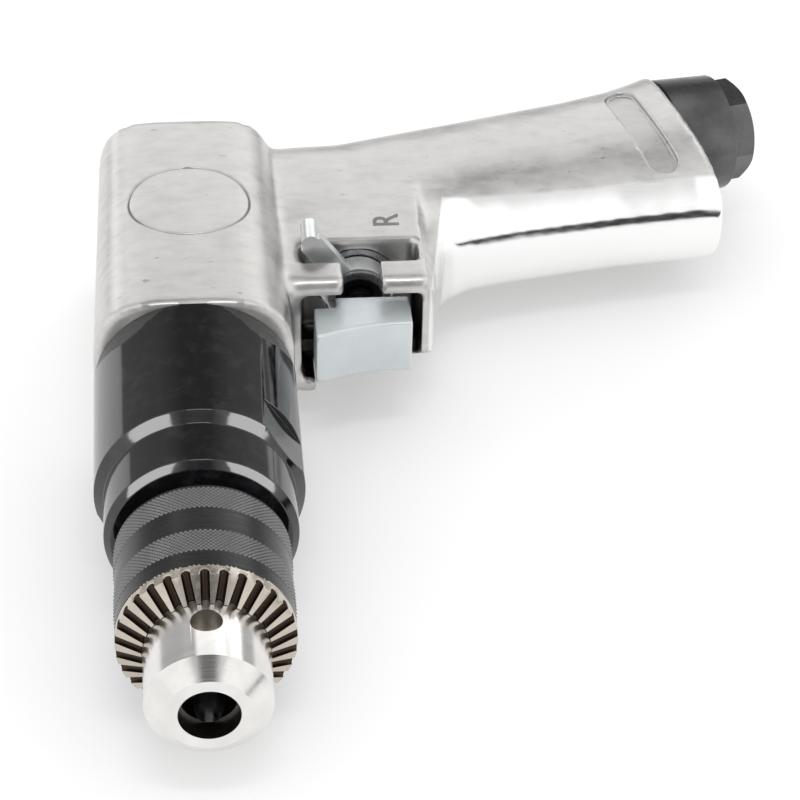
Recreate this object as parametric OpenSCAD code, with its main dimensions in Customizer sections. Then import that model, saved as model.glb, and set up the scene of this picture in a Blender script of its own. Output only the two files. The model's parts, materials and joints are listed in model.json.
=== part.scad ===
// Reversible pistol-grip air drill with a keyed three-jaw chuck.
// The spindle lies along Y and the chuck's mouth is centred on the origin, facing -Y.
// The grip points to +X and the tool lies on its right side, so its left side faces +Z.

/* [Chuck] */
// Diameter of the chuck sleeve and of its toothed ring
sleeve_d = 34; // [33.5:0.5:38]
// Length of the chuck from its mouth to its rear face
chuck_len = 46; // [45.5:0.5:50]
// Diameter of the chuck's mouth
mouth_d = 11.6; // [11:0.1:12]
// Diameter of the flat face round the mouth
nose_d = 16.4; // [14:0.1:18]
// Diameter of the chuck body in front of the toothed ring
body_d = 23.9; // [23:0.1:24.5]
// Length of the cone behind the nose
nose_taper = 3.1; // [1:0.1:5]
// Distance from the nose to the inner edge of the toothed face
ring_y = 16.8; // [16.2:0.1:18]
// How far the toothed face slopes back from its inner to its outer edge
ring_bevel = 2.7; // [2:0.1:3.2]
// Width of the toothed ring along the spindle
ring_w = 5.5; // [4.5:0.1:6]
// Number of key teeth
tooth_count = 30; // [20:1:36]
// Radius of the round-bottomed tooth grooves
groove_r = 0.9; // [0.6:0.05:1]
// Distance from the nose to the key pilot holes
pilot_y = 12.4; // [11:0.1:13]
// Diameter of the key pilot holes
pilot_d = 6; // [4:0.1:6.5]
// Depth of the key pilot holes
pilot_depth = 4; // [2:0.1:4.5]
// Diameter of the chuck jaws
jaw_d = 5.8; // [5:0.1:6]
// Angle of the jaws to the spindle
jaw_angle = 16; // [15:0.5:17]
// Distance from the spindle axis to the jaw edges when open
jaw_open = 5; // [4:0.1:5.2]
// Distance from the spindle axis to the jaw edges when closed
jaw_closed = 0.4; // [0.3:0.1:1]

/* [Gear case] */
// Gap between the chuck and the gear case
chuck_gap = 3.2; // [2:0.1:6]
// Diameter of the gear case
case_d = 41.8; // [38:0.1:44]
// Step from the gear case down to its front collar
collar_step = 1.9; // [1:0.1:3]
// Length of the front collar
collar_len = 12.6; // [10:0.1:16]
// Length of the bevel between the collar and the case
case_bevel = 2.1; // [1:0.1:3]
// Edge chamfer at the front of the collar
collar_chamfer = 1.4; // [0.5:0.1:2]
// Length of the gear case behind the bevel
case_len = 35.2; // [34:0.1:40]
// Depth of the wrench flats
flat_depth = 1.2; // [0.6:0.1:1.6]
// Length of the wrench flats behind the bevel
flat_len = 8.6; // [4:0.1:12]
// Turn of the wrench flats about the spindle
flat_turn = 32; // [0:1:90]

/* [Spindle and gears] */
// Wall of the front collar round the spindle bearings
bearing_wall = 5; // [4:0.1:6]
// Spindle diameter at its bearings
spindle_d = 12; // [10:0.5:14]
// Width of the spindle bearings
bearing_w = 8; // [6:0.5:8]
// Length of the spacer between the spindle bearings
spacer_len = 5.5; // [3:0.5:6]
// Wall of the ring gear behind its teeth
ring_rim = 1.64; // [1.2:0.02:2]
// Teeth on the rotor pinion
sun_teeth = 9; // [9:3:12]
// Teeth on each planet gear
planet_teeth = 21; // [18:1:21]
// Width of the planet gears
gear_w = 8.5; // [6:0.1:9]
// Diameter of the planet pins
planet_pin_d = 4; // [3:0.1:5]
// Thickness of the planet carrier
carrier_t = 5; // [4:0.1:6]

/* [Air motor] */
// Wall of the gear case and the barrel round the motor
motor_wall = 3.6; // [3.5:0.1:4.2]
// Length of the motor cylinder
motor_len = 46; // [40:0.5:48]
// Thinnest wall of the motor cylinder
cylinder_wall = 2.2; // [1.8:0.1:3]
// Offset of the cylinder's bore from the rotor axis
rotor_offset = 1.5; // [0.8:0.1:1.8]
// Number of rotor vanes
vane_count = 5; // [4:1:6]
// Thickness of the vanes
vane_t = 1.8; // [1.2:0.1:2.2]
// Thickness of the front end plate
front_plate_t = 7; // [6.5:0.1:8]
// Thickness of the rear end plate
rear_plate_t = 6.5; // [6.2:0.1:8]

/* [Housing] */
// Length of the motor barrel
barrel_len = 72; // [71:0.5:80]
// How much less wide than the gear case the barrel's front is, on each side
barrel_slim = 0.1; // [0:0.1:0.4]
// How much taller than the gear case the barrel's front is, on each side
barrel_rise = 0.1; // [0:0.1:1]
// How much the barrel's half width narrows towards the rear
barrel_draft = 1.4; // [0:0.1:2]
// Edge radius at the rear of the barrel
barrel_round = 2; // [1:0.1:4]
// Radius of the bow across the barrel's rear
rear_bow_r = 60; // [45:1:90]

/* [Grip] */
// Backward lean of the grip
rake = 15; // [13:0.5:16]
// Length of the grip from the spindle axis
grip_len = 115.6; // [112:0.1:125]
// Half thickness of the grip and of the trigger block
grip_half = 14.5; // [14.2:0.1:16]
// Distance from the nose to the front edge of the trigger block
block_front = 114; // [112:0.1:115]
// Distance from the spindle axis to the trigger stem
stem_x = 35.6; // [35:0.1:37]
// Height of the trigger stem above the grip's middle plane
stem_z = 3.5; // [0:0.1:3.6]

/* [Trigger and reverse] */
// Width of the trigger along the grip
trigger_w = 20.4; // [16:0.1:22]
// Thickness of the trigger
trigger_t = 12.4; // [12:0.1:14]
// Height of the trigger's middle above the grip's middle plane
trigger_z = 1.5; // [1.5:0.1:2]
// Travel of the trigger
trigger_travel = 4; // [3:0.1:4.2]
// Width of the trigger pocket along the grip
pocket_w = 25.4; // [24:0.1:26]
// Thickness of the pocket's side walls
pocket_wall = 3.7; // [2.5:0.1:4.2]
// Length of the lever window
window_w = 25; // [24:0.1:26]
// Width of the lever window
window_h = 7.6; // [7:0.1:8]
// Width of the gap between the window and the block's front edge
stem_gap = 7.8; // [6:0.1:9]
// Swing of the reverse lever to each side
lever_swing = 37; // [25:1:38]
// Gap between the grip's side and the lever's thumb pad
pad_gap = 0.55; // [0.4:0.05:2]
// Diameter of the lever's thumb pad
pad_d = 4; // [3:0.1:4.2]
// Diameter of the trigger stem
stem_d = 4.2; // [3:0.1:5]
// Outer diameter of the valve bushing
bushing_d = 17; // [16:0.1:18]
// Diameter of the reverse valve
valve_d = 13.8; // [12:0.1:14]
// Length of the reverse valve in its bushing
valve_len = 16.6; // [14:0.1:17]

/* [Air inlet] */
// Distance from the grip's middle line to the inlet axis, to the rear
inlet_n = 8.6; // [8:0.1:9]
// Diameter of the collar where it meets the grip
inlet_collar_d = 28.4; // [26:0.1:29]
// How much narrower the collar is at its outer end
inlet_collar_taper = 1.8; // [0:0.1:3]
// Length of the collar
inlet_collar_len = 13.8; // [8:0.1:16]
// Distance across the flats of the inlet hexagon
inlet_hex = 20.5; // [17:0.5:22]
// Length of the inlet hexagon
inlet_hex_len = 6; // [5:0.1:12]
// Wall diameter of the inlet thread
inlet_thread_d = 11.2; // [10:0.1:12]
// Depth of the inlet thread
inlet_thread_len = 12; // [8:0.1:16]

/* [Clearances] */
// Radial clearance of turning and sliding fits
run_fit = 0.05; // [0.02:0.01:0.08]
// Radial clearance of pieces that are pressed or screwed together
seat_fit = 0.03; // [0.02:0.01:0.1]
// Radial clearance of the stacked motor pieces in their bore
stack_fit = 0.1; // [0.05:0.01:0.2]
// End clearance between pieces that turn against each other
end_gap = 0.3; // [0.2:0.05:0.4]

/* [Hidden] */
$fn = 64;

// Length that reaches past any cut surface
past = 1;

// Chuck
sleeve_r = sleeve_d / 2;
body_r = body_d / 2;
mouth_r = mouth_d / 2;
sleeve_front_r = body_r + 2 * run_fit;
sleeve_wall = 1.85;
cavity_r = sleeve_r - sleeve_wall;
cavity_land = 1.2;
cavity_y = ring_y + ring_w + cavity_land;
sleeve_sink = 0.8;
sleeve_end = chuck_len - sleeve_sink;
seam_w = 0.4;
seam_depth = 0.35;
ring_slope = atan(ring_bevel / (sleeve_r - sleeve_front_r));
groove_sink = groove_r / 3;
nut_len = 5.6;
nut_gap = 0.2;
nut_y = cavity_y + nut_gap;
nut_groove_depth = 1.8;
nut_groove_r = body_r - nut_groove_depth;
flange_r = cavity_r - 2 * run_fit;
flange_y = nut_y + nut_len + nut_gap;
jaw_r = jaw_d / 2;
jaw_tip = 0.6;
jaw_tip_r = 1.6;
jaw_stroke = (jaw_open - jaw_closed) / sin(jaw_angle);
jaw_tip_open = jaw_tip + jaw_stroke * cos(jaw_angle);
jaw_turns = [270, 30, 150];
mouth_len = 4.4;
mouth_step = 0.5;
bit_bore_depth = 27;
screw_head_r = 4.2;
screw_head_t = 3.4;
screw_r = 2.5;
thread_r = 4.7;
web_t = 3;
thread_y = bit_bore_depth + web_t;
screw_len = 13;
slot_w = 1;
slot_depth = 1.2;
jaw_inset = 0.6;

// Gear case and bearings
case_front = chuck_len + chuck_gap;
case_r = case_d / 2;
collar_r = case_r - collar_step;
collar_end = case_front + collar_len;
case_start = collar_end + case_bevel;
case_rear = case_start + case_len;
case_front_wall = 3.3;
bearing_r = collar_r - bearing_wall;
spindle_r = spindle_d / 2;
shoulder_step = 1.4;
shoulder_r = spindle_r + shoulder_step;
shaft_gap = 0.8;
bearing_1_y = case_front + case_front_wall;
spacer_y = bearing_1_y + bearing_w;
bearing_2_y = spacer_y + spacer_len;
bearing_end = bearing_2_y + bearing_w;
bearing_ring_share = 0.275;
spacer_wall = 2;
shield_sink = 0.4;
motor_r = case_r - motor_wall;
gear_bore_r = motor_r + 3 * stack_fit;
spigot_wall = 1.4;
spigot_r = gear_bore_r + spigot_wall;
spigot_len = 9;

// Planet gears
pressure_angle = 25;
tooth_height = 0.8;
tooth_root = 1.05;
backlash = 0.12;
flank_steps = 3;
ring_teeth = sun_teeth + 2 * planet_teeth;
gear_module = (gear_bore_r - seat_fit - ring_rim) / (ring_teeth / 2 + tooth_root);
planet_angles = [0, 120, 240];
gear_centre = gear_module * (sun_teeth + planet_teeth) / 2;
planet_pin_r = planet_pin_d / 2;
carrier_y = bearing_end + end_gap;
carrier_rim = 4;
carrier_r = gear_centre + planet_pin_r + carrier_rim;
planet_y = carrier_y + carrier_t + end_gap;
ring_gear_y = planet_y - end_gap / 2;
ring_gear_len = gear_w + 2 * end_gap;

// Air motor
rotor_gap = 0.1;
rotor_r = motor_r - cylinder_wall - 2 * rotor_offset - rotor_gap;
front_plate_y = ring_gear_y + ring_gear_len + end_gap;
motor_y = front_plate_y + front_plate_t;
rear_plate_y = motor_y + motor_len;
motor_end = rear_plate_y + rear_plate_t;
motor_bore_r = motor_r + stack_fit;
cylinder_bore_r = rotor_r + rotor_offset + rotor_gap;
rotor_y = motor_y + end_gap / 2;
rotor_len = motor_len - end_gap;
front_shaft_r = 4;
rear_shaft_r = 3;
front_plate_wall = 6.3;
front_bearing_r = motor_r - front_plate_wall;
front_bearing_w = 6;
rear_plate_wall = 7.8;
rear_bearing_r = motor_r - rear_plate_wall;
rear_bearing_w = 5.8;
vane_depth = 5;
vane_play = 0.1;
dowel_r = 1;
dowel_len = 12;
dowel_inset = 1.5;
plate_hole_gap = 1;
port_r = 2;
port_inset = 2.5;
port_pitch = 5.5;

// Barrel
barrel_front = case_rear + seat_fit;
barrel_w = case_r - barrel_slim;
barrel_h = case_r + barrel_rise;
motor_bore_end = motor_end + end_gap;

// Grip, block and valve line
grip_base_y = 150;
grip_half_root = 1.1;
block_x0 = 12;
block_x1 = 49.5;
block_relief_x = 26;
block_relief_z = -4.2;
block_relief_run = 1.32;
block_round = 2;
stem_r = stem_d / 2;
lever_reach = (grip_half + pad_gap + pad_d / 2 - stem_z) / cos(lever_swing);
pocket_half = grip_half - pocket_wall;
pocket_depth = 10.5;
window_inset = 8;
window_y = block_front + window_inset;
window_end = window_y + window_h;
window_floor = 7.5;
bushing_r = bushing_d / 2;
valve_r = valve_d / 2;
bushing_y = window_end + stack_fit;
valve_y = bushing_y + end_gap;
bushing_over = 0.8;
bushing_len = valve_len + bushing_over;
port_places = [bushing_y + port_inset, bushing_y + port_inset + port_pitch];
seat_y = bushing_y + bushing_len;
seat_t = 2.8;
seat_play = 1.9;
seat_hole_r = stem_r + seat_play;
chamber_y = seat_y + seat_t;
chamber_step = 1.7;
chamber_r = bushing_r - chamber_step;
chamber_len = 13.4;
poppet_play = 1.2;
poppet_r = chamber_r - poppet_play;
poppet_t = 2.3;
poppet_y = chamber_y + end_gap;
spring_wire_r = 0.45;
spring_turns = 4.5;
spring_y = poppet_y + poppet_t + stack_fit;
spring_len = chamber_y + chamber_len - spring_y - stack_fit;
spring_inset = 1.1;
spring_r = poppet_r - spring_inset;
boss_wall = 2.9;
boss_r = stem_r + boss_wall;
clip_t = 0.8;
clip_wall = 1.6;
clip_r = boss_r + clip_wall;
clip_inset = 1.7;
clip_slot = 2;
clip_gap = 0.2;
clip_y = window_y + clip_inset;
boss_y = clip_y - clip_gap;
hub_y = clip_y + clip_t + clip_gap;
hub_len = 4.6;
hub_wall = 2;
hub_r = boss_r + hub_wall;
arm_t = 2.2;
arm_half = 2.6;
pad_len = 7;
trigger_proud = 9.8;
trigger_front = block_front - trigger_proud;
trigger_clear = 2.2;
trigger_rear = hub_y - trigger_travel - trigger_clear;
trigger_x0 = stem_x - trigger_w / 2;
trigger_x1 = trigger_x0 + trigger_w;
trigger_lean = 11.3;
recess_play = 0.4;
trigger_hollow = 1.3;
trigger_notch_w = 4.6;
trigger_notch_d = 3.6;
trigger_round = 1.5;
stem_seat = 8;
stem_front = trigger_rear - stem_seat;
neck_len = 2.3;
neck_wall = 0.7;
neck_r = stem_r + neck_wall;
neck_ring_r = neck_r + 0.5;
neck_ring_w = 0.45;

// Inlet and exhaust
spigot_hole_r = 7.5;
spigot_depth = 8;
passage_r = 5;
passage_start = 31;
seal_t = 0.8;
screen_t = 0.6;
collar_l = grip_len + seal_t + 2 * seat_fit;
hex_l = collar_l + inlet_collar_len + seat_fit;
inlet_end = hex_l + inlet_hex_len;
inlet_bore_r = 4.5;
hex_land = 0.4;
seal_inset = 0.6;
exhaust_n = -14;
exhaust_r = 5.5;
exhaust_depth = 56;
muffler_len = 8;
muffler_sink = 1.5;

// Colours of the finishes
cast_alloy = [0.78, 0.78, 0.76];
black_steel = [0.07, 0.07, 0.08];
dark_steel = [0.30, 0.31, 0.32];
bright_steel = [0.82, 0.82, 0.82];
plain_steel = [0.60, 0.60, 0.62];
zinc = [0.72, 0.76, 0.78];
bronze = [0.66, 0.52, 0.32];
rubber_black = [0.05, 0.05, 0.05];
vane_brown = [0.36, 0.24, 0.16];

// Solid turned about the spindle axis from (radius, Y) points
module turned(points) {
    rotate([-90, 0, 0]) rotate_extrude() polygon(points);
}

// Cylinder along Y from y to y + len
module rod(r, y, len) {
    translate([0, y, 0]) rotate([-90, 0, 0]) cylinder(r = r, h = len);
}

// Flat ring along Y
module ring(r_out, r_in, y, len) {
    difference() {
        rod(r_out, y, len);
        rod(r_in, y - past, len + 2 * past);
    }
}

// Moves its children to the valve line behind the trigger
module on_stem() {
    translate([stem_x, 0, stem_z]) children();
}

// Frame of the grip: X runs down the grip, Y to its rear
module on_grip() {
    translate([0, grip_base_y, 0]) rotate([0, 0, rake]) children();
}

// Cylinder along the grip's inlet or exhaust line
module grip_rod(r, l, len, n) {
    translate([l, n, 0]) rotate([0, 90, 0]) cylinder(r = r, h = len);
}

// Flat ring along the grip's inlet line
module grip_ring(r_out, r_in, l, len, n) {
    difference() {
        grip_rod(r_out, l, len, n);
        grip_rod(r_in, l - past, len + 2 * past, n);
    }
}

// Power of an absolute value that keeps the sign of its base
function signed_power(v, p) = sign(v) * pow(abs(v), p);

// Skin over a list of closed rings with equal point counts
module loft(rings) {
    n = len(rings[0]);
    last = len(rings) - 1;
    points = [for (one_ring = rings) each one_ring];
    sides = [for (i = [0 : last - 1], j = [0 : n - 1])
             let (a = i * n + j, b = i * n + (j + 1) % n)
             each [[a, b, b + n], [a, b + n, a + n]]];
    first_cap = [for (j = [n - 1 : -1 : 0]) j];
    last_cap = [for (j = [0 : n - 1]) last * n + j];
    polyhedron(points, concat(sides, [first_cap, last_cap]));
}

// Barrel

ring_points = 48;

// Rounded square ring of the barrel at y, with half width a, half height b and power p
function barrel_ring(y, a, b, p) =
    [for (i = [0 : ring_points - 1])
     let (t = 360 * i / ring_points)
     [a * signed_power(cos(t), 2 / p), y, b * signed_power(sin(t), 2 / p)]];

// The barrel goes from nearly round at its front to squarer at its rear
barrel_power_front = 3.7;
barrel_power_rear = 4.6;
barrel_edge = 0.5;

function barrel_at(s, inset) =
    let (a = barrel_w - barrel_draft * s - inset,
         b = barrel_h - barrel_draft * s / 2 - inset,
         p = barrel_power_front + (barrel_power_rear - barrel_power_front) * s)
    barrel_ring(barrel_front + s * barrel_len, a, b, p);

round_steps = 4;
rear_start = 1 - barrel_round / barrel_len;

module barrel() {
    straight = [for (s = [barrel_edge / barrel_len, 0.25, 0.5, 0.75]) barrel_at(s, 0)];
    rear = [for (i = [0 : round_steps])
            let (t = 90 * i / round_steps)
            barrel_at(rear_start + (1 - rear_start) * sin(t), barrel_round * (1 - cos(t)))];
    intersection() {
        loft(concat([barrel_at(0, barrel_edge)], straight, rear));
        rear_bow();
    }
}

// Space before the bow across the barrel's rear
module rear_bow() {
    height = barrel_h + past;
    translate([0, barrel_front + barrel_len - rear_bow_r, -height])
        linear_extrude(2 * height) {
            circle(rear_bow_r);
            translate([-rear_bow_r, -barrel_len])
                square([2 * rear_bow_r, barrel_len]);
        }
}

// Grip

// Egg-shaped ring of the grip at l, from front to rear, with half thickness b.
// The rear half is a rounded square and the front half has its own power.
grip_rear_half = 14;
grip_rear_power = 3.2;

function grip_ring_at(l, rear, front, b, power) =
    let (middle = rear - grip_rear_half)
    [for (i = [0 : ring_points - 1])
     let (t = -360 * i / ring_points,
          back = cos(t) >= 0,
          p = back ? grip_rear_power : power,
          reach = back ? grip_rear_half : middle - front)
     [l, middle + reach * signed_power(cos(t), 2 / p), b * signed_power(sin(t), 2 / p)]];

// Stations down the grip: place, rear edge, front edge, change of half thickness, front power.
// The first ones lie inside the barrel and the block, then the finger flange sweeps back.
grip_stations = [
    [10, 17, -30, grip_half_root, 4],
    [18, 17, -32, grip_half_root / 2, 4],
    [25, 17, -34, 0.25, 4],
    [33, 15.6, -40, 0.12, 4],
    [37.2, 15, -46, -0.1, 4.5],
    [39.3, 14.9, -46.6, -0.1, 4.5],
    [40.7, 14.9, -45, -0.1, 4.5],
    [42.2, 15, -41.5, -0.1, 4.2],
    [44.8, 15.1, -35, -0.1, 4],
    [48.6, 15.2, -29, -0.1, 3.6],
    [52.5, 15.3, -26.2, -0.15, 3.3],
    [58, 15.5, -24.8, -0.2, 3],
    [66, 15.7, -24.8, -0.25, 3],
    [79, 16.1, -25.6, -0.2, 3],
    [92, 16.3, -26.6, -0.1, 3],
    [104, 17, -28.2, 0.3, 3]];

// The flared end follows the grip's length
grip_end_edge = 0.8;
flare_len = 5.5;
flare_rear = 18.2;
flare_front = -29;
flare_swell = 0.6;
lip_rear = 19.5;
lip_front = -29.8;
lip_swell = 0.8;
flare_power = 3;
lip_power = 2.8;

module grip() {
    upper = [for (s = grip_stations) grip_ring_at(s[0], s[1], s[2], grip_half + s[3], s[4])];
    flare = grip_ring_at(grip_len - flare_len, flare_rear, flare_front,
                         grip_half + flare_swell, flare_power);
    lip = grip_ring_at(grip_len - grip_end_edge, lip_rear, lip_front, grip_half + lip_swell, lip_power);
    end = grip_ring_at(grip_len, lip_rear - grip_end_edge, lip_front + grip_end_edge,
                       grip_half + lip_swell - grip_end_edge, lip_power);
    loft(concat(upper, [flare, lip, end]));
}

// Block round the trigger, with its long edges rounded
module trigger_block() {
    depth = grip_base_y - block_front;
    translate([block_x0, 0, 0])
        rotate([90, 0, 90])
            linear_extrude(block_x1 - block_x0) {
                translate([block_front + block_round, -grip_half])
                    square([depth, 2 * grip_half]);
                translate([block_front, block_round - grip_half])
                    square([depth, 2 * (grip_half - block_round)]);
                for (side = [-1, 1])
                    translate([block_front + block_round, side * (grip_half - block_round)])
                        circle(block_round);
            }
}

// Sloping cut that takes the lower front edge off the block and its finger flange
module block_relief() {
    drop = 2 * grip_half;
    translate([block_relief_x, block_front, block_relief_z])
        rotate([90, 0, 90])
            linear_extrude(block_x1)
                polygon([[0, 0],
                         [block_relief_run * drop, -drop],
                         [-past, -drop],
                         [-past, 0]]);
}

// Pocket, lever window and the gap that lets the stem's front be reached
module trigger_cuts() {
    block_relief();
    translate([stem_x - pocket_w / 2, block_front - past, -pocket_half])
        cube([pocket_w, pocket_depth + past, 2 * pocket_half]);
    translate([stem_x - window_w / 2, window_y, -window_floor])
        cube([window_w, window_h, window_floor + grip_half + past]);
    translate([stem_x - stem_gap / 2, block_front - past, pocket_half - past])
        cube([stem_gap, window_y - block_front + 2 * past, pocket_wall + 2 * past]);
}

// Bores of the valve line, with two ports up to the motor
module valve_bores() {
    on_stem() {
        rod(bushing_r + seat_fit, window_end - past, chamber_y - window_end + past);
        rod(chamber_r, chamber_y - past, chamber_len + past);
    }
    for (y = port_places)
        translate([motor_bore_r - past, y, stem_z])
            rotate([0, 90, 0]) cylinder(r = port_r, h = stem_x - motor_bore_r);
}

// Air inlet and exhaust lines in the grip
module grip_bores() {
    on_grip() {
        grip_rod(spigot_hole_r + seat_fit, grip_len - spigot_depth, spigot_depth + past, inlet_n);
        grip_rod(passage_r, passage_start, grip_len - spigot_depth - passage_start + past, inlet_n);
        grip_rod(exhaust_r, grip_len - exhaust_depth, exhaust_depth + past, exhaust_n);
    }
}

// Cast housing: motor barrel, grip and trigger block in one piece
module housing() {
    color(cast_alloy)
        difference() {
            union() {
                barrel();
                on_grip() grip();
                trigger_block();
            }
            rod(motor_bore_r, barrel_front - past, motor_bore_end - barrel_front + past);
            rod(spigot_r + seat_fit, barrel_front - past, spigot_len + end_gap + past);
            trigger_cuts();
            valve_bores();
            grip_bores();
        }
}

// Gear case with its front collar, wrench flats and rear spigot
module gear_case() {
    color(black_steel)
        difference() {
            turned([
                [shoulder_r + shaft_gap, case_front],
                [collar_r - collar_chamfer, case_front],
                [collar_r, case_front + collar_chamfer],
                [collar_r, collar_end],
                [case_r, case_start],
                [case_r, case_rear],
                [spigot_r, case_rear],
                [spigot_r, case_rear + spigot_len],
                [gear_bore_r, case_rear + spigot_len],
                [gear_bore_r, bearing_end],
                [bearing_r + seat_fit, bearing_end],
                [bearing_r + seat_fit, bearing_1_y],
                [shoulder_r + shaft_gap, bearing_1_y]]);
            for (side = [0, 180])
                rotate([0, side - flat_turn, 0])
                    translate([case_r - flat_depth, collar_end - past, -case_r])
                        cube([case_r, case_bevel + flat_len + past, case_d]);
        }
}

// Chuck

// Places its children on a jaw's sloping axis, which becomes their Z
module on_jaw(turn) {
    rotate([0, -turn, 0])
        translate([jaw_tip_r, jaw_tip, 0])
            rotate([0, 0, -jaw_angle])
                rotate([-90, 0, 0])
                    children();
}

// Distance of the jaw axis from the spindle axis at y
function jaw_axis_r(y) = jaw_tip_r + (y - jaw_tip) * tan(jaw_angle);

// Outermost reach of a jaw at y
function jaw_reach(y) = jaw_axis_r(y) + jaw_r / cos(jaw_angle);

module chuck_body() {
    color(bright_steel)
        difference() {
            turned([
                [0, 0],
                [nose_d / 2, 0],
                [body_r, nose_taper],
                [body_r, nut_y - nut_gap],
                [nut_groove_r, nut_y - nut_gap],
                [nut_groove_r, flange_y],
                [flange_r, flange_y],
                [flange_r, chuck_len],
                [0, chuck_len]]);
            rod(mouth_r, -past, mouth_len + past);
            rod(mouth_r - mouth_step, 0, bit_bore_depth);
            rod(screw_r + seat_fit, bit_bore_depth - past, 2 * past + thread_y - bit_bore_depth);
            rod(thread_r + seat_fit, thread_y, chuck_len - thread_y + past);
            for (turn = jaw_turns)
                on_jaw(turn)
                    translate([0, 0, -jaw_r])
                        cylinder(r = jaw_r + run_fit, h = chuck_len + 4 * jaw_r);
            for (turn = jaw_turns)
                rotate([0, 180 - turn, 0])
                    translate([body_r - pilot_depth, pilot_y, 0])
                        rotate([0, 90, 0]) cylinder(d = pilot_d, h = pilot_depth + past);
        }
}

// Sleeve with its sloping ring of key teeth
module chuck_sleeve() {
    color(dark_steel)
        difference() {
            turned([
                [sleeve_front_r, ring_y],
                [sleeve_r, ring_y + ring_bevel],
                [sleeve_r, ring_y + ring_w - seam_w],
                [sleeve_r - seam_depth, ring_y + ring_w - seam_w / 2],
                [sleeve_r, ring_y + ring_w],
                [sleeve_r, sleeve_end],
                [cavity_r, sleeve_end],
                [cavity_r, cavity_y],
                [sleeve_front_r, cavity_y]]);
            for (i = [0 : tooth_count - 1])
                rotate([0, 360 * (i + 0.5) / tooth_count, 0])
                    translate([sleeve_front_r, ring_y, 0])
                        rotate([0, 0, ring_slope])
                            translate([-2, groove_sink, 0])
                                rotate([0, 90, 0])
                                    cylinder(r = groove_r, h = sleeve_d / 2);
        }
}

// Split nut that turns with the sleeve and drives the jaws
module chuck_nut() {
    color(plain_steel)
        difference() {
            turned([
                [jaw_reach(nut_y) + nut_gap, nut_y],
                [cavity_r - seat_fit, nut_y],
                [cavity_r - seat_fit, nut_y + nut_len],
                [jaw_reach(nut_y + nut_len) + nut_gap, nut_y + nut_len]]);
            translate([-sleeve_r, nut_y - past, -seam_w / 2])
                cube([sleeve_d, nut_len + 2 * past, seam_w]);
        }
}

// Jaw at rest, open: a round bar with a wedge edge, ground square at its tip
module chuck_jaw(turn) {
    rear = chuck_len - jaw_inset;
    wedge = sleeve_d;
    color(plain_steel)
        intersection() {
            on_jaw(turn)
                translate([0, 0, jaw_stroke - jaw_r])
                    cylinder(r = jaw_r, h = chuck_len);
            rotate([0, -turn, 0])
                translate([0, jaw_tip_open, 0])
                    rotate([-90, 0, 0])
                        linear_extrude(rear - jaw_tip_open)
                            polygon([[jaw_open, 0],
                                     [jaw_open + wedge, wedge * tan(60)],
                                     [jaw_open + wedge, -wedge * tan(60)]]);
            rod(flange_r - run_fit, 0, chuck_len);
        }
}

module chuck_jaw_1() {
    chuck_jaw(jaw_turns[0]);
}

module chuck_jaw_2() {
    chuck_jaw(jaw_turns[1]);
}

module chuck_jaw_3() {
    chuck_jaw(jaw_turns[2]);
}

// Screw that keeps the chuck on the spindle in reverse
module chuck_screw() {
    color(plain_steel)
        difference() {
            union() {
                rod(screw_head_r, bit_bore_depth - screw_head_t, screw_head_t);
                rod(screw_r, bit_bore_depth - past, screw_len + past);
            }
            translate([-screw_head_r, bit_bore_depth - screw_head_t - past, -slot_w / 2])
                cube([2 * screw_head_r, past + slot_depth, slot_w]);
        }
}

// Spindle with the planet carrier at its rear
module spindle() {
    color(plain_steel)
        difference() {
            turned([
                [0, thread_y + stack_fit],
                [thread_r, thread_y + stack_fit],
                [thread_r, chuck_len + stack_fit],
                [shoulder_r, chuck_len + stack_fit],
                [shoulder_r, bearing_1_y - end_gap],
                [spindle_r, bearing_1_y - end_gap],
                [spindle_r, carrier_y],
                [carrier_r, carrier_y],
                [carrier_r, carrier_y + carrier_t],
                [0, carrier_y + carrier_t]]);
            rod(screw_r + seat_fit, thread_y, screw_len);
            for (turn = planet_angles)
                rotate([0, turn, 0])
                    translate([gear_centre, 0, 0])
                        rod(planet_pin_r + seat_fit, carrier_y - past, carrier_t + 2 * past);
        }
}

// Ball bearing with sunk shields between its two rings
module bearing(r_out, r_in, y, w) {
    race = (r_out - r_in) * bearing_ring_share;
    difference() {
        ring(r_out, r_in, y, w);
        ring(r_out - race, r_in + race, y - past, past + shield_sink);
        ring(r_out - race, r_in + race, y + w - shield_sink, past + shield_sink);
    }
}

module spindle_bearing_front() {
    color(bright_steel) bearing(bearing_r, spindle_r + run_fit, bearing_1_y, bearing_w);
}

module spindle_bearing_rear() {
    color(bright_steel) bearing(bearing_r, spindle_r + run_fit, bearing_2_y, bearing_w);
}

module bearing_spacer() {
    color(plain_steel) ring(bearing_r - stack_fit, bearing_r - spacer_wall, spacer_y, spacer_len);
}

// Gears

// Involute of an angle, in degrees
function involute(a) = tan(a) * 180 / PI - a;

// Half angle of a tooth at radius r on a gear with n teeth, thinned by play at the pitch circle
function tooth_half_angle(r, n, play) =
    let (pitch_r = gear_module * n / 2, base_r = pitch_r * cos(pressure_angle))
    90 / n - play / 2 / pitch_r * 180 / PI
    + involute(pressure_angle) - involute(acos(min(1, base_r / r)));

function polar(r, a) = [r * cos(a), r * sin(a)];

// Outline of a gear between its root and its tip radius
function gear_outline(n, root_r, tip_r, play) =
    let (base_r = gear_module * n / 2 * cos(pressure_angle),
         low_r = max(base_r, root_r),
         radii = [for (k = [0 : flank_steps]) low_r + (tip_r - low_r) * k / flank_steps])
    [for (i = [0 : n - 1])
     let (middle = 360 * i / n, foot = tooth_half_angle(low_r, n, play))
     each concat(
         [polar(root_r, middle - foot)],
         [for (r = radii) polar(r, middle - tooth_half_angle(r, n, play))],
         [for (k = [flank_steps : -1 : 0]) polar(radii[k], middle + tooth_half_angle(radii[k], n, play))],
         [polar(root_r, middle + foot)])];

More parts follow.
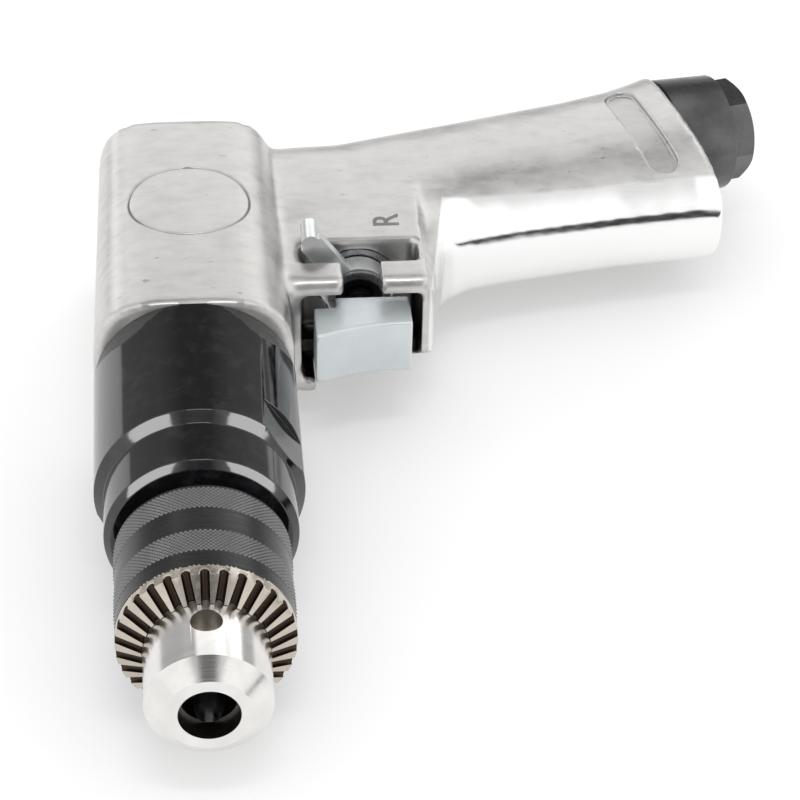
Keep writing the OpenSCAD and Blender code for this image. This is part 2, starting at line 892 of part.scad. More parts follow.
// Solid gear along Y
module gear(n, y, len) {
    pitch_r = gear_module * n / 2;
    outline = gear_outline(n, pitch_r - tooth_root * gear_module,
                           pitch_r + tooth_height * gear_module, backlash);
    translate([0, y, 0]) rotate([-90, 0, 0]) linear_extrude(len) polygon(outline);
}

// Fixed ring with inner teeth, its spaces in line with the planets
module ring_gear() {
    pitch_r = gear_module * ring_teeth / 2;
    spaces = gear_outline(ring_teeth, pitch_r - tooth_height * gear_module,
                          pitch_r + tooth_root * gear_module, -backlash);
    color(plain_steel)
        translate([0, ring_gear_y, 0])
            rotate([-90, 0, 0])
                linear_extrude(ring_gear_len)
                    difference() {
                        circle(gear_bore_r - seat_fit);
                        polygon(spaces);
                    }
}

module planet_gear(turn) {
    color(plain_steel)
        rotate([0, turn, 0])
            translate([gear_centre, 0, 0])
                difference() {
                    gear(planet_teeth, planet_y, gear_w);
                    rod(planet_pin_r + run_fit, planet_y - past, gear_w + 2 * past);
                }
}

module planet_gear_1() {
    planet_gear(planet_angles[0]);
}

module planet_gear_2() {
    planet_gear(planet_angles[1]);
}

module planet_gear_3() {
    planet_gear(planet_angles[2]);
}

module planet_pins() {
    color(bright_steel)
        for (turn = planet_angles)
            rotate([0, turn, 0])
                translate([gear_centre, 0, 0])
                    rod(planet_pin_r, carrier_y + end_gap, carrier_t + gear_w);
}

// Air motor

module front_end_plate() {
    color(bronze)
        difference() {
            rod(motor_r, front_plate_y, front_plate_t);
            rod(front_shaft_r + plate_hole_gap, front_plate_y - past, front_plate_t + 2 * past);
            rod(front_bearing_r + seat_fit, front_plate_y - past, front_bearing_w + past);
        }
}

module rotor_bearing_front() {
    color(bright_steel)
        bearing(front_bearing_r, front_shaft_r + run_fit, front_plate_y, front_bearing_w - end_gap);
}

// Rotor with vane slots, both shafts and the pinion that drives the planets
module rotor() {
    color(plain_steel)
        difference() {
            union() {
                rod(rotor_r, rotor_y, rotor_len);
                rod(front_shaft_r, front_plate_y, front_plate_t + past);
                rod(rear_shaft_r, rear_plate_y - past, rear_plate_t + past);
                gear(sun_teeth, planet_y, front_plate_y - planet_y + past);
            }
            for (i = [0 : vane_count - 1])
                rotate([0, 360 * i / vane_count, 0])
                    translate([rotor_r - vane_depth - vane_play, rotor_y - past, -vane_t / 2 - vane_play])
                        cube([vane_depth + past, rotor_len + 2 * past, vane_t + 2 * vane_play]);
        }
}

module rotor_vanes() {
    color(vane_brown)
        for (i = [0 : vane_count - 1])
            rotate([0, 360 * i / vane_count, 0])
                translate([rotor_r - vane_depth, rotor_y, -vane_t / 2])
                    cube([vane_depth - vane_play, rotor_len, vane_t]);
}

// Cylinder with its bore set off towards the grip and ports on that side
module motor_cylinder() {
    color(plain_steel)
        difference() {
            rod(motor_r, motor_y, motor_len);
            translate([rotor_offset, 0, 0])
                rod(cylinder_bore_r, motor_y - past, motor_len + 2 * past);
            for (y = port_places)
                translate([rotor_r, y, stem_z])
                    rotate([0, 90, 0]) cylinder(r = port_r, h = motor_r);
            translate([dowel_inset - motor_r, rear_plate_y - dowel_len / 2, 0])
                rod(dowel_r + seat_fit, 0, dowel_len);
        }
}

// Dowel that keeps the cylinder and the rear plate from turning
module cylinder_dowel() {
    color(bright_steel)
        translate([dowel_inset - motor_r, rear_plate_y - dowel_len / 2 + stack_fit, 0])
            rod(dowel_r, 0, dowel_len / 2 + rear_plate_t - 2 * stack_fit);
}

module rear_end_plate() {
    color(bronze)
        difference() {
            rod(motor_r, rear_plate_y, rear_plate_t);
            rod(rear_shaft_r + plate_hole_gap, rear_plate_y - past, rear_plate_t + 2 * past);
            rod(rear_bearing_r + seat_fit, motor_end - rear_bearing_w, rear_bearing_w + past);
            translate([dowel_inset - motor_r, rear_plate_y - past, 0])
                rod(dowel_r + seat_fit, 0, rear_plate_t + 2 * past);
        }
}

module rotor_bearing_rear() {
    color(bright_steel)
        bearing(rear_bearing_r, rear_shaft_r + run_fit, motor_end - rear_bearing_w + end_gap / 2,
                rear_bearing_w - end_gap / 2);
}

// Trigger, valve line and reverse lever

// Front edge of the trigger at x: it slopes and is hollowed for the finger
function trigger_face(x) =
    let (u = 2 * (x - trigger_x0) / trigger_w - 1)
    trigger_front + tan(trigger_lean) * (x - trigger_x0) + trigger_hollow * (1 - u * u);

face_steps = 10;

module trigger_outline() {
    face = [for (i = [0 : face_steps])
            let (x = trigger_x0 + trigger_w * i / face_steps)
            [x, trigger_face(x)]];
    polygon(concat(face, [
        [trigger_x1, trigger_rear],
        [trigger_x0 + trigger_notch_w, trigger_rear],
        [trigger_x0 + trigger_notch_w, trigger_rear - trigger_notch_d],
        [trigger_x0, trigger_rear - trigger_notch_d]]));
}

// Section of the trigger along the grip, rounded at its front edges
module trigger_section() {
    half = trigger_t / 2;
    depth = trigger_rear - trigger_front + past;
    translate([trigger_front + trigger_round, trigger_z - half]) square([depth, trigger_t]);
    translate([trigger_front, trigger_z + trigger_round - half])
        square([depth, trigger_t - 2 * trigger_round]);
    for (side = [-1, 1])
        translate([trigger_front + trigger_round, trigger_z + side * (half - trigger_round)])
            circle(trigger_round);
}

module trigger() {
    color(zinc)
        difference() {
            intersection() {
                translate([0, 0, trigger_z - trigger_t / 2]) linear_extrude(trigger_t) trigger_outline();
                translate([trigger_x0, 0, 0])
                    rotate([90, 0, 90])
                        linear_extrude(trigger_w) trigger_section();
            }
            on_stem() {
                rod(stem_r + seat_fit, stem_front, trigger_rear);
                rod(neck_ring_r + recess_play, boss_y - neck_len - trigger_travel - end_gap, trigger_rear);
            }
        }
}

// Stem from the trigger through the reverse valve to the throttle valve
module trigger_stem() {
    stem_end = poppet_y + poppet_t - end_gap;
    color(plain_steel)
        on_stem()
            turned([
                [0, stem_front + stack_fit],
                [stem_r, stem_front + stack_fit],
                [stem_r, stem_end],
                [0, stem_end]]);
}

// Lever: a hub on the valve, a flat arm and a thumb pad outside the window
module reverse_lever() {
    color(zinc)
        on_stem()
            rotate([0, -lever_swing, 0])
                difference() {
                    union() {
                        rod(hub_r, hub_y, hub_len);
                        translate([0, hub_y, 0])
                            rotate([-90, 0, 0])
                                linear_extrude(arm_t)
                                    translate([-arm_half, -lever_reach])
                                        square([2 * arm_half, lever_reach]);
                        translate([0, 0, lever_reach]) rod(pad_d / 2, hub_y, pad_len);
                    }
                    rod(boss_r + seat_fit, hub_y - past, hub_len + 2 * past);
                }
}

module lever_clip() {
    color(dark_steel)
        on_stem()
            rotate([0, -lever_swing, 0])
                difference() {
                    ring(clip_r, boss_r + seat_fit, clip_y, clip_t);
                    translate([-clip_slot / 2, clip_y - past, -clip_r - past])
                        cube([clip_slot, clip_t + 2 * past, clip_r + past - stem_r]);
                }
}

// Reverse valve: a turning spool with a boss for the lever, a ringed neck and two cross ports
module reverse_valve() {
    color(plain_steel)
        on_stem()
            rotate([0, -lever_swing, 0])
                difference() {
                    turned([
                        [stem_r + run_fit, boss_y - neck_len],
                        [neck_ring_r, boss_y - neck_len],
                        [neck_ring_r, boss_y - neck_len + neck_ring_w],
                        [neck_r, boss_y - neck_len + neck_ring_w],
                        [neck_r, boss_y - neck_len + 2 * neck_ring_w],
                        [neck_ring_r, boss_y - neck_len + 2 * neck_ring_w],
                        [neck_ring_r, boss_y - neck_len + 3 * neck_ring_w],
                        [neck_r, boss_y - neck_len + 3 * neck_ring_w],
                        [neck_r, boss_y],
                        [boss_r, boss_y],
                        [boss_r, valve_y],
                        [valve_r, valve_y],
                        [valve_r, valve_y + valve_len],
                        [stem_r + run_fit, valve_y + valve_len]]);
                    for (y = port_places)
                        translate([0, y, 0])
                            rotate([0, -90, 0]) cylinder(r = port_r, h = 2 * valve_r);
                }
}

module valve_bushing() {
    color(bronze)
        on_stem()
            difference() {
                ring(bushing_r, valve_r + run_fit, bushing_y, bushing_len);
                for (y = port_places)
                    translate([0, y, 0])
                        rotate([0, -90, 0]) cylinder(r = port_r, h = 2 * bushing_r);
            }
}

module throttle_seat() {
    color(bronze) on_stem() ring(bushing_r, seat_hole_r, seat_y, seat_t);
}

// Poppet on the rear end of the stem
module throttle_valve() {
    color(rubber_black)
        on_stem()
            difference() {
                rod(poppet_r, poppet_y, poppet_t);
                rod(stem_r + seat_fit, poppet_y - past, poppet_t + past - end_gap + stack_fit);
            }
}

// Point on the spring's wire: s counts turns, a goes round the wire
function spring_point(s, a) =
    let (r = spring_r + spring_wire_r * cos(a),
         rise = spring_len - 2 * spring_wire_r,
         y = spring_y + spring_wire_r + rise * s / spring_turns + spring_wire_r * sin(a))
    [r * cos(360 * s), y, r * sin(360 * s)];

spring_sides = 6;
rings_per_turn = 8;

module throttle_spring() {
    count = rings_per_turn * spring_turns;
    color(bright_steel)
        on_stem()
            loft([for (k = [0 : count])
                  [for (j = [0 : spring_sides - 1])
                   spring_point(k / rings_per_turn, -360 * j / spring_sides)]]);
}

// Air inlet and exhaust

module inlet_collar() {
    color(black_steel)
        on_grip()
            difference() {
                translate([collar_l, inlet_n, 0])
                    rotate([0, 90, 0])
                        cylinder(d1 = inlet_collar_d, d2 = inlet_collar_d - inlet_collar_taper,
                                 h = inlet_collar_len);
                grip_rod(spigot_hole_r + seat_fit, collar_l - past, inlet_collar_len + 2 * past, inlet_n);
            }
}

// Inlet bushing: spigot in the grip, hexagon and thread for the hose fitting
module air_inlet() {
    corner_r = inlet_hex / sqrt(3);
    chamfer = corner_r - inlet_hex / 2 + hex_land;
    chamfer_len = chamfer * tan(30);
    color(black_steel)
        on_grip()
            difference() {
                union() {
                    grip_rod(spigot_hole_r, grip_len - spigot_depth + screen_t + stack_fit,
                             spigot_depth + hex_l - grip_len, inlet_n);
                    intersection() {
                        translate([hex_l, inlet_n, 0])
                            rotate([0, 90, 0])
                                rotate([0, 0, 30])
                                    cylinder(r = corner_r, h = inlet_hex_len, $fn = 6);
                        translate([hex_l, inlet_n, 0])
                            rotate([0, 90, 0])
                                rotate_extrude()
                                    polygon([[0, 0],
                                             [corner_r, 0],
                                             [corner_r, inlet_hex_len - chamfer_len],
                                             [corner_r - chamfer, inlet_hex_len],
                                             [0, inlet_hex_len]]);
                    }
                }
                grip_rod(inlet_thread_d / 2, inlet_end - inlet_thread_len, inlet_thread_len + past, inlet_n);
                grip_rod(inlet_bore_r, grip_len - spigot_depth, inlet_end - grip_len + spigot_depth, inlet_n);
            }
}

// Strainer disc at the inner end of the inlet bushing, with a pattern of holes
module inlet_screen() {
    hole_r = 0.8;
    pitch = 2.4;
    color(bright_steel)
        on_grip()
            difference() {
                grip_rod(spigot_hole_r - seat_fit, grip_len - spigot_depth + seat_fit, screen_t, inlet_n);
                for (i = [-2 : 2], j = [-2 : 2])
                    grip_rod_at(hole_r, grip_len - spigot_depth - past, screen_t + 2 * past,
                                inlet_n + i * pitch, j * pitch);
            }
}

// Cylinder along the grip, set off from its middle plane
module grip_rod_at(r, l, len, n, z) {
    translate([l, n, z]) rotate([0, 90, 0]) cylinder(r = r, h = len);
}

module inlet_seal() {
    color(rubber_black)
        on_grip()
            grip_ring(inlet_collar_d / 2 - seal_inset, spigot_hole_r + seat_fit, grip_len + seat_fit,
                      seal_t, inlet_n);
}

// Felt plug in the exhaust line
module exhaust_muffler() {
    color(dark_steel)
        on_grip()
            grip_rod(exhaust_r - seat_fit, grip_len - muffler_sink - muffler_len, muffler_len, exhaust_n);
}

housing();
gear_case();
chuck_body();
chuck_sleeve();
chuck_nut();
chuck_jaw_1();
chuck_jaw_2();
chuck_jaw_3();
chuck_screw();
spindle();
spindle_bearing_front();
spindle_bearing_rear();
bearing_spacer();
ring_gear();
planet_gear_1();
planet_gear_2();
planet_gear_3();
planet_pins();
front_end_plate();
rotor_bearing_front();
rotor();
rotor_vanes();
motor_cylinder();
cylinder_dowel();
rear_end_plate();
rotor_bearing_rear();
trigger();
trigger_stem();
reverse_lever();
lever_clip();
reverse_valve();
valve_bushing();
throttle_seat();
throttle_valve();
throttle_spring();
inlet_collar();
air_inlet();
inlet_screen();
inlet_seal();
exhaust_muffler();
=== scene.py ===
"""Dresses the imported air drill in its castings, knurls, marks and finishes, and sets stage and camera."""

import json
import math

import bpy
from mathutils import Matrix, Vector

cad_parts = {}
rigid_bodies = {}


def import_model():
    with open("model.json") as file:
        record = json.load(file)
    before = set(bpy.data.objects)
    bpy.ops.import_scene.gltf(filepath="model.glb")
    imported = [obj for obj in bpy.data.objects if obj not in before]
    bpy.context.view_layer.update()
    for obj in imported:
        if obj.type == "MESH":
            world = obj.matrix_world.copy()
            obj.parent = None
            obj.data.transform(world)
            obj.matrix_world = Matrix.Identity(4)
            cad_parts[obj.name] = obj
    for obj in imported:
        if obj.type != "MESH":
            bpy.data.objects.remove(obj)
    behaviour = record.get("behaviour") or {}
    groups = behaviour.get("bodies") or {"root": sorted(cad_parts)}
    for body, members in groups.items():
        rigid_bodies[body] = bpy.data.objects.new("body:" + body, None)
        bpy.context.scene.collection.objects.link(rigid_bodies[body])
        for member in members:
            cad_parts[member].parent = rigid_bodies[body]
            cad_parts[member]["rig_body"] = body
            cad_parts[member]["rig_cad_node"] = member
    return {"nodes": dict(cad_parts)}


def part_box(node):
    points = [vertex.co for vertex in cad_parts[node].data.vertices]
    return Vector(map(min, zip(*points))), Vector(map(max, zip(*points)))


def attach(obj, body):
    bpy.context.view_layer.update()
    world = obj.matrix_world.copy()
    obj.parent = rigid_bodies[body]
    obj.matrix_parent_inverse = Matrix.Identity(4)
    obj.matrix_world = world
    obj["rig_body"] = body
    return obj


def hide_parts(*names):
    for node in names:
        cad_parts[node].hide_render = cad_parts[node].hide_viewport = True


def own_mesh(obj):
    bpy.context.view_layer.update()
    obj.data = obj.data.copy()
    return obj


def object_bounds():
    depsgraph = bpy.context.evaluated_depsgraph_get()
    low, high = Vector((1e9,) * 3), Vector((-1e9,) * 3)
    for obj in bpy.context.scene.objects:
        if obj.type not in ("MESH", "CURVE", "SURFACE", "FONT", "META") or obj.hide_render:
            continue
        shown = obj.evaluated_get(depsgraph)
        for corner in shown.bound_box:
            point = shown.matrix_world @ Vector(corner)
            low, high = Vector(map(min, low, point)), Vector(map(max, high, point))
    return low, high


bl_info = {
    "name": "Air drill",
    "version": (1, 0, 0),
    "blender": (4, 5, 0),
    "location": "View3D > Sidebar > Air drill",
    "description": "Builds the dressed air drill on its packed frame",
    "category": "Object",
}

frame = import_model()
CAD_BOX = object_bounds()
MM = 0.001

# Frame of the grip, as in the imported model: its foot on the spindle line and its lean
GRIP_FOOT = Vector((0.0, 0.150, 0.0))
GRIP_LEAN = math.radians(15)
TO_GRIP = Matrix.Rotation(-GRIP_LEAN, 3, "Z")

# Lines down the grip, each as its slope and its start in metres, with a soft edge:
# the polish begins before both the grip's line and the finger flange's
GRIP_LINE = (-0.117, -0.0104)
FLANGE_LINE = (2.2, -0.1325)
POLISH_EDGE = (-0.0002, 0.0007)

# Boxes of the housing that are painted with shade, in millimetres, by their lowest and highest corners
POCKET = ((22.4, 115.2, -11.3), (48.8, 125.6, 11.3))
WINDOW = ((22.6, 121.6, -9.0), (48.6, 130.2, 13.4))

# Where the painted shade in the tooth grooves and the key holes is lifted, from all to nothing along the
# spindle, in metres
GROOVE_SHADE_FADE = (0.0145, 0.0185)

# Height in metres from which rays look down on the tool
OVERHEAD = 0.2

# Distance within which a copied mesh's points are one, and the angle within which its faces are flat
WELD = 0.002 * MM
FLAT_ANGLE = math.radians(0.4)
# Angle over which the edges of a softened casting stay sharp
CAST_ANGLE = math.radians(40)


def colour(name, words, value):
    """Colour property with a default."""
    return bpy.props.FloatVectorProperty(
        name=name, description=words, default=value, size=3, min=0.0, max=1.0, subtype="COLOR"
    )


def length(name, words, value):
    """Length property in metres with a default in millimetres."""
    return bpy.props.FloatProperty(
        name=name, description=words, default=value * MM, min=0.0, precision=5, unit="LENGTH"
    )


def turn(name, words, value):
    """Angle property with a default in degrees."""
    return bpy.props.FloatProperty(
        name=name, description=words, default=math.radians(value), subtype="ANGLE"
    )


def plain(name, words, value, least=0.0, most=10.0):
    """Plain number property."""
    return bpy.props.FloatProperty(name=name, description=words, default=value, min=least, max=most)


def whole(name, words, value, least, most):
    """Whole number property."""
    return bpy.props.IntProperty(name=name, description=words, default=value, min=least, max=most)


def watts(name, words, value):
    """Lamp power property."""
    return bpy.props.FloatProperty(
        name=name, description=words, default=value, min=0.0, max=100.0, unit="POWER"
    )


class FinishSettings(bpy.types.PropertyGroup):
    """Colours of the finishes."""

    cast: colour("Cast alloy", "Tumbled casting of the barrel and the grip", (0.62, 0.61, 0.595))
    polished: colour("Polished alloy", "Ground and polished front of the grip", (0.93, 0.93, 0.925))
    black_paint: colour("Black paint", "Gloss paint of the gear case", (0.003, 0.003, 0.0034))
    sleeve: colour("Sleeve", "Blackened steel of the chuck sleeve", (0.055, 0.055, 0.057))
    knurl: colour("Knurl", "Worn points of the knurl", (0.17, 0.17, 0.17))
    tooth: colour("Teeth", "Nickelled key teeth", (0.56, 0.51, 0.445))
    # Painted shade in the tooth grooves and the chuck's key holes
    groove: colour("Tooth grooves", "Darkened metal between the key teeth", (0.055, 0.039, 0.029))
    bright: colour("Bright steel", "Polished steel of the nose and pins", (0.80, 0.79, 0.77))
    steel: colour("Machined steel", "Plain machined steel", (0.46, 0.46, 0.47))
    zinc: colour("Zinc", "Plated die casting of the trigger", (0.63, 0.67, 0.685))
    lever: colour("Lever", "Bright plate of the reverse lever", (0.78, 0.80, 0.80))
    bronze: colour("Bronze", "Bushings and end plates", (0.52, 0.38, 0.20))
    oxide: colour("Black oxide", "Blackened inlet pieces", (0.105, 0.105, 0.107))
    # Painted shade inside the chuck's mouth
    inside: colour("Bore", "Dark metal inside the chuck's mouth", (0.05, 0.045, 0.04))
    rubber: colour("Rubber", "Seals", (0.020, 0.020, 0.020))
    fibre: colour("Fibre", "Rotor vanes", (0.16, 0.09, 0.05))
    felt: colour("Felt", "Exhaust plug", (0.25, 0.24, 0.22))
    # Painted shade in the trigger's pocket and the lever's window
    pocket_shade: colour("Pocket_shade", "Grease in the trigger's pocket", (0.020, 0.020, 0.019))
    # Dark colour of the reverse mark's letter
    mark: colour("Mark", "Dirt in the sunk marks", (0.16, 0.155, 0.15))


class CastingSettings(bpy.types.PropertyGroup):
    """Softening of the cast housing and its sunk marks."""

    voxel: length("Voxel", "Grain of the softened casting", 0.755)
    smooth_steps: whole("Smoothing", "Steps that round the casting's edges", 3, 0, 20)
    root_steps: whole("Root smoothing", "Steps that blend the barrel into the grip", 24, 0, 200)
    bore_reach: length("Bore reach", "Radius within which the barrel's inner wall lies", 21.5)
    bore_thinning: plain("Bore thinning", "Share of the bore's triangles taken out", 0.85, 0.0, 0.95)
    badge_x: length("Badge X", "Centre of the round badge across the barrel", 0.1)
    badge_y: length("Badge Y", "Centre of the round badge along the barrel", 137.4)
    badge_r: length("Badge radius", "Radius of the badge's groove", 12.9)
    groove: length("Groove width", "Half width of the badge's groove", 0.36)
    groove_depth: length("Groove depth", "Depth of the badge's groove", 0.42)
    plate_l: length("Plate place", "Middle of the sunk plate down the grip", 104.7)
    plate_n: length("Plate offset", "Distance of the plate's middle before the grip's middle line", 5.7)
    plate_len: length("Plate length", "Length of the sunk plate across the grip", 31.5)
    plate_w: length("Plate width", "Width of the sunk plate down the grip", 7.6)
    plate_edge: length("Plate edge", "Width of the plate's sloping edge", 0.6)
    plate_depth: length("Plate depth", "Depth of the sunk plate", 0.95)
    mark_x: length("Mark X", "Middle of the reverse mark across the tool", 42.0)
    mark_y: length("Mark Y", "Foot of the reverse mark along the tool", 134.8)
    mark_size: length("Mark size", "Height of the reverse mark's letter", 5.6)
    mark_depth: length("Mark depth", "Thickness of the reverse mark", 0.12)


class KnurlSettings(bpy.types.PropertyGroup):
    """Knurled bands of the chuck sleeve."""

    first: length("First band", "Front edge of the front band", 26.0)
    second: length("Second band", "Front edge of the rear band", 38.5)
    width: length("Band width", "Width of each band", 6.4)
    height: length("Height", "Height of the knurl's points", 0.22)
    rows: whole("Rows", "Rows of points in a band", 7, 2, 20)
    round: whole("Points", "Points round a band", 116, 24, 200)


class EdgeSettings(bpy.types.PropertyGroup):
    """Edge rounding of the machined pieces."""

    case: length("Gear case", "Edge radius of the gear case", 0.5)
    nose: length("Nose", "Edge radius of the chuck's nose", 0.22)
    sleeve: length("Sleeve", "Edge radius of the chuck sleeve", 0.12)
    grain: length("Grain", "Voxel of the softened trigger", 0.2)
    trigger_steps: whole("Trigger rounding", "Steps that round the trigger's edges", 40, 0, 60)
    lever: length("Lever", "Edge radius of the reverse lever", 0.22)
    inlet: length("Inlet", "Edge radius of the inlet pieces", 0.35)


class StageSettings(bpy.types.PropertyGroup):
    """Floor, light and camera."""

    floor: colour("Floor", "Pale floor", (0.90, 0.90, 0.90))
    floor_white: plain("Floor glow", "Share of plain white in the floor as it is seen", 0.33, 0.0, 1.0)
    world: plain("Room light", "Strength of the even light of the room", 1.1)
    room_dark: plain("Dark of the room", "Brightness of the room's dark parts in mirror surfaces", 0.15)
    room_light: plain("Light of the room", "Brightness of the room's sides in mirror surfaces", 1.15)
    room_top: plain("Top of the room", "Brightness over the tool in mirror surfaces", 0.75)
    room_back: plain("Back of the room", "Brightness low behind the tool in mirror surfaces", 0.65)
    key: watts("Key light", "Power of the low light behind the tool", 0.85)
    edge: watts("Edge light", "Power of the small light over the tool's front edges", 1.0)
    case: watts("Case lights", "Power of each light in the painted case's front edges", 2.6)
    nose: watts("Nose light", "Power of the light in the top of the chuck's nose", 0.5)
    shoulder: watts("Shoulder light", "Power of the light in the barrel's left shoulder", 0.22)
    band_near: length("Band start", "Where the dark strip that the polished grip mirrors begins", 95.0)
    band_flare: length("Band flare", "How far the dark strip widens towards the grip's end", 500.0)
    band_far: length("Band end", "Where the dark strip that the polished grip mirrors ends", 210.0)
    azimuth: turn("Azimuth", "Camera's turn about the tool", -5.54)
    elevation: turn("Elevation", "Camera's height above the floor", 37.16)
    roll: turn("Roll", "Camera's turn about its own axis", 1.52)
    distance: length("Distance", "Camera's distance from its target", 602.13)
    target: bpy.props.FloatVectorProperty(
        name="Target", description="Point that the camera looks at",
        default=(0.04072, 0.080, 0.00918), size=3, subtype="XYZ", unit="LENGTH",
    )
    lens: plain("Lens", "Focal length on a 36 mm wide sensor, in millimetres", 135.0, 10.0, 400.0)


# Materials

def node(tree, kind, x, y, **values):
    """Adds a shader node and sets its inputs and properties by name."""
    made = tree.nodes.new(kind)
    made.location = (x, y)
    for key, value in values.items():
        if key in made.inputs:
            made.inputs[key].default_value = value
        else:
            setattr(made, key, value)
    return made


def new_material(name):
    """Material with one shader, its output and Object coordinates."""
    material = bpy.data.materials.new(name)
    material.use_nodes = True
    tree = material.node_tree
    tree.nodes.clear()
    shader = node(tree, "ShaderNodeBsdfPrincipled", 400, 0)
    output = node(tree, "ShaderNodeOutputMaterial", 700, 0)
    place = node(tree, "ShaderNodeTexCoord", -1200, 0)
    tree.links.new(shader.outputs["BSDF"], output.inputs["Surface"])
    return material, tree, shader, place.outputs["Object"]


def rgba(value, gain=1.0):
    """Colour with alpha, made lighter or darker."""
    return (*[min(1.0, max(0.0, c * gain)) for c in value], 1.0)


def noise(tree, place, x, y, scale, detail, rough=0.55):
    """Noise on Object coordinates, with its scale in waves per metre."""
    made = node(tree, "ShaderNodeTexNoise", x, y, Scale=scale, Detail=detail, Roughness=rough)
    tree.links.new(place, made.inputs["Vector"])
    return made.outputs["Fac"]


def stretched(tree, place, scale, x, y, rotation=(0.0, 0.0, 0.0), location=(0.0, 0.0, 0.0)):
    """Object coordinates stretched and turned for brushed or turned finishes."""
    made = node(tree, "ShaderNodeMapping", x, y, Scale=scale, Rotation=rotation, Location=location)
    tree.links.new(place, made.inputs["Vector"])
    return made.outputs["Vector"]


def parts(tree, place, x, y):
    """Coordinates taken apart into X, Y and Z."""
    made = node(tree, "ShaderNodeSeparateXYZ", x, y)
    tree.links.new(place, made.inputs["Vector"])
    return [made.outputs[axis] for axis in "XYZ"]


def grip_parts(tree, place, x, y):
    """Coordinates in the grip's frame: down the grip, across it and up."""
    foot = tuple(TO_GRIP @ -GRIP_FOOT)
    turned = stretched(tree, place, (1, 1, 1), x, y, (0, 0, -GRIP_LEAN), foot)
    return parts(tree, turned, x + 200, y)


def ramp(tree, fac, stops, x, y):
    """Colour ramp over a factor; stops are (place, colour)."""
    made = node(tree, "ShaderNodeValToRGB", x, y)
    points = made.color_ramp.elements
    points[0].position, points[0].color = stops[0]
    points[1].position, points[1].color = stops[-1]
    for place, value in stops[1:-1]:
        points.new(place).color = value
    tree.links.new(fac, made.inputs["Fac"])
    return made.outputs["Color"]


def spread(tree, fac, low, high, x, y, from_low=0.3, from_high=0.7):
    """Factor mapped to a range of values."""
    made = node(tree, "ShaderNodeMapRange", x, y)
    levels = {"From Min": from_low, "From Max": from_high, "To Min": low, "To Max": high}
    for key, value in levels.items():
        made.inputs[key].default_value = value
    tree.links.new(fac, made.inputs["Value"])
    return made.outputs["Result"]


def bump(tree, shader, height, depth, x, y, strength=1.0, before=None):
    """Bump of a depth in metres on the shader's normal."""
    made = node(tree, "ShaderNodeBump", x, y, Strength=strength, Distance=depth)
    tree.links.new(height, made.inputs["Height"])
    if before is not None:
        tree.links.new(before, made.inputs["Normal"])
    tree.links.new(made.outputs["Normal"], shader.inputs["Normal"])
    return made.outputs["Normal"]


def put(tree, socket, value):
    """Links a socket to another one, or sets it to a plain value."""
    if isinstance(value, bpy.types.NodeSocket):
        tree.links.new(value, socket)
    else:
        socket.default_value = value


def mixed(tree, fac, first, second, x, y):
    """Mix of two colours by a factor."""
    made = node(tree, "ShaderNodeMix", x, y, data_type="RGBA")
    for index, value in ((0, fac), (6, first), (7, second)):
        put(tree, made.inputs[index], value)
    return made.outputs[2]


def blended(tree, fac, first, second, x, y):
    """Mix of two numbers by a factor."""
    made = node(tree, "ShaderNodeMix", x, y, data_type="FLOAT")
    for index, value in ((0, fac), (2, first), (3, second)):
        put(tree, made.inputs[index], value)
    return made.outputs[0]


def sums(tree, kind, first, second, x, y):
    """Math node on two sockets or numbers."""
    made = node(tree, "ShaderNodeMath", x, y, operation=kind)
    for socket, value in zip(made.inputs, (first, second)):
        put(tree, socket, value)
    return made.outputs["Value"]


def inside(tree, axes, box, x, y, soft):
    """One inside a box, falling to nothing over its soft edges; all in millimetres."""
    total = None
    for axis, start, end in zip(axes, *box):
        rise = spread(tree, axis, 0.0, 1.0, x, y, (start - soft) * MM, (start + soft) * MM)
        fall = spread(tree, axis, 1.0, 0.0, x, y - 60, (end - soft) * MM, (end + soft) * MM)
        both = sums(tree, "MULTIPLY", rise, fall, x + 160, y)
        total = both if total is None else sums(tree, "MULTIPLY", total, both, x + 320, y)
        y -= 140
    return total


def metal(name, base, rough, mottle=0.12, grain=900.0, depth=0.02, metallic=1.0, wear=0.06):
    """Plain metal: mottled colour, uneven roughness and a fine grain with its depth in millimetres."""
    material, tree, shader, place = new_material(name)
    shader.inputs["Metallic"].default_value = metallic
    broad = noise(tree, place, -900, 250, scale=90.0, detail=4.0)
    fine = noise(tree, place, -900, -250, scale=grain, detail=3.0)
    tint = ramp(tree, broad, [(0.3, rgba(base, 1 - mottle)), (0.7, rgba(base, 1 + mottle))], -600, 250)
    tree.links.new(tint, shader.inputs["Base Color"])
    tree.links.new(spread(tree, fine, rough - wear, rough + wear, -600, 0), shader.inputs["Roughness"])
    bump(tree, shader, fine, depth * MM, 100, -250)
    return material


def turned_metal(name, base, rough, pitch=0.25, depth=0.01):
    """Metal turned on a lathe about the spindle: fine rings with pitch and depth in millimetres."""
    material, tree, shader, place = new_material(name)
    shader.inputs["Metallic"].default_value = 1.0
    along = stretched(tree, place, (0.02, 1.0, 0.02), -1000, -250)
    rings = noise(tree, along, -800, -250, scale=1.0 / (pitch * MM), detail=3.0)
    broad = noise(tree, place, -800, 250, scale=120.0, detail=4.0)
    tint = ramp(tree, broad, [(0.3, rgba(base, 0.9)), (0.7, rgba(base, 1.06))], -500, 250)
    tree.links.new(tint, shader.inputs["Base Color"])
    tree.links.new(spread(tree, rings, rough * 0.7, rough * 1.3, -500, 0), shader.inputs["Roughness"])
    bump(tree, shader, rings, depth * MM, 100, -250)
    return material


def polished_front(tree, place):
    """One on the ground and polished front of the grip and its finger flange."""
    down, across, _ = grip_parts(tree, place, -1000, -700)
    lines = []
    for (slope, start), y in ((GRIP_LINE, -650), (FLANGE_LINE, -800)):
        rise = sums(tree, "MULTIPLY", down, slope, -600, y)
        lines.append(sums(tree, "ADD", rise, start, -450, y))
    line = sums(tree, "MINIMUM", *lines, -300, -700)
    ahead = sums(tree, "SUBTRACT", line, across, -150, -700)
    return spread(tree, ahead, 0.0, 1.0, 0, -700, *POLISH_EDGE)


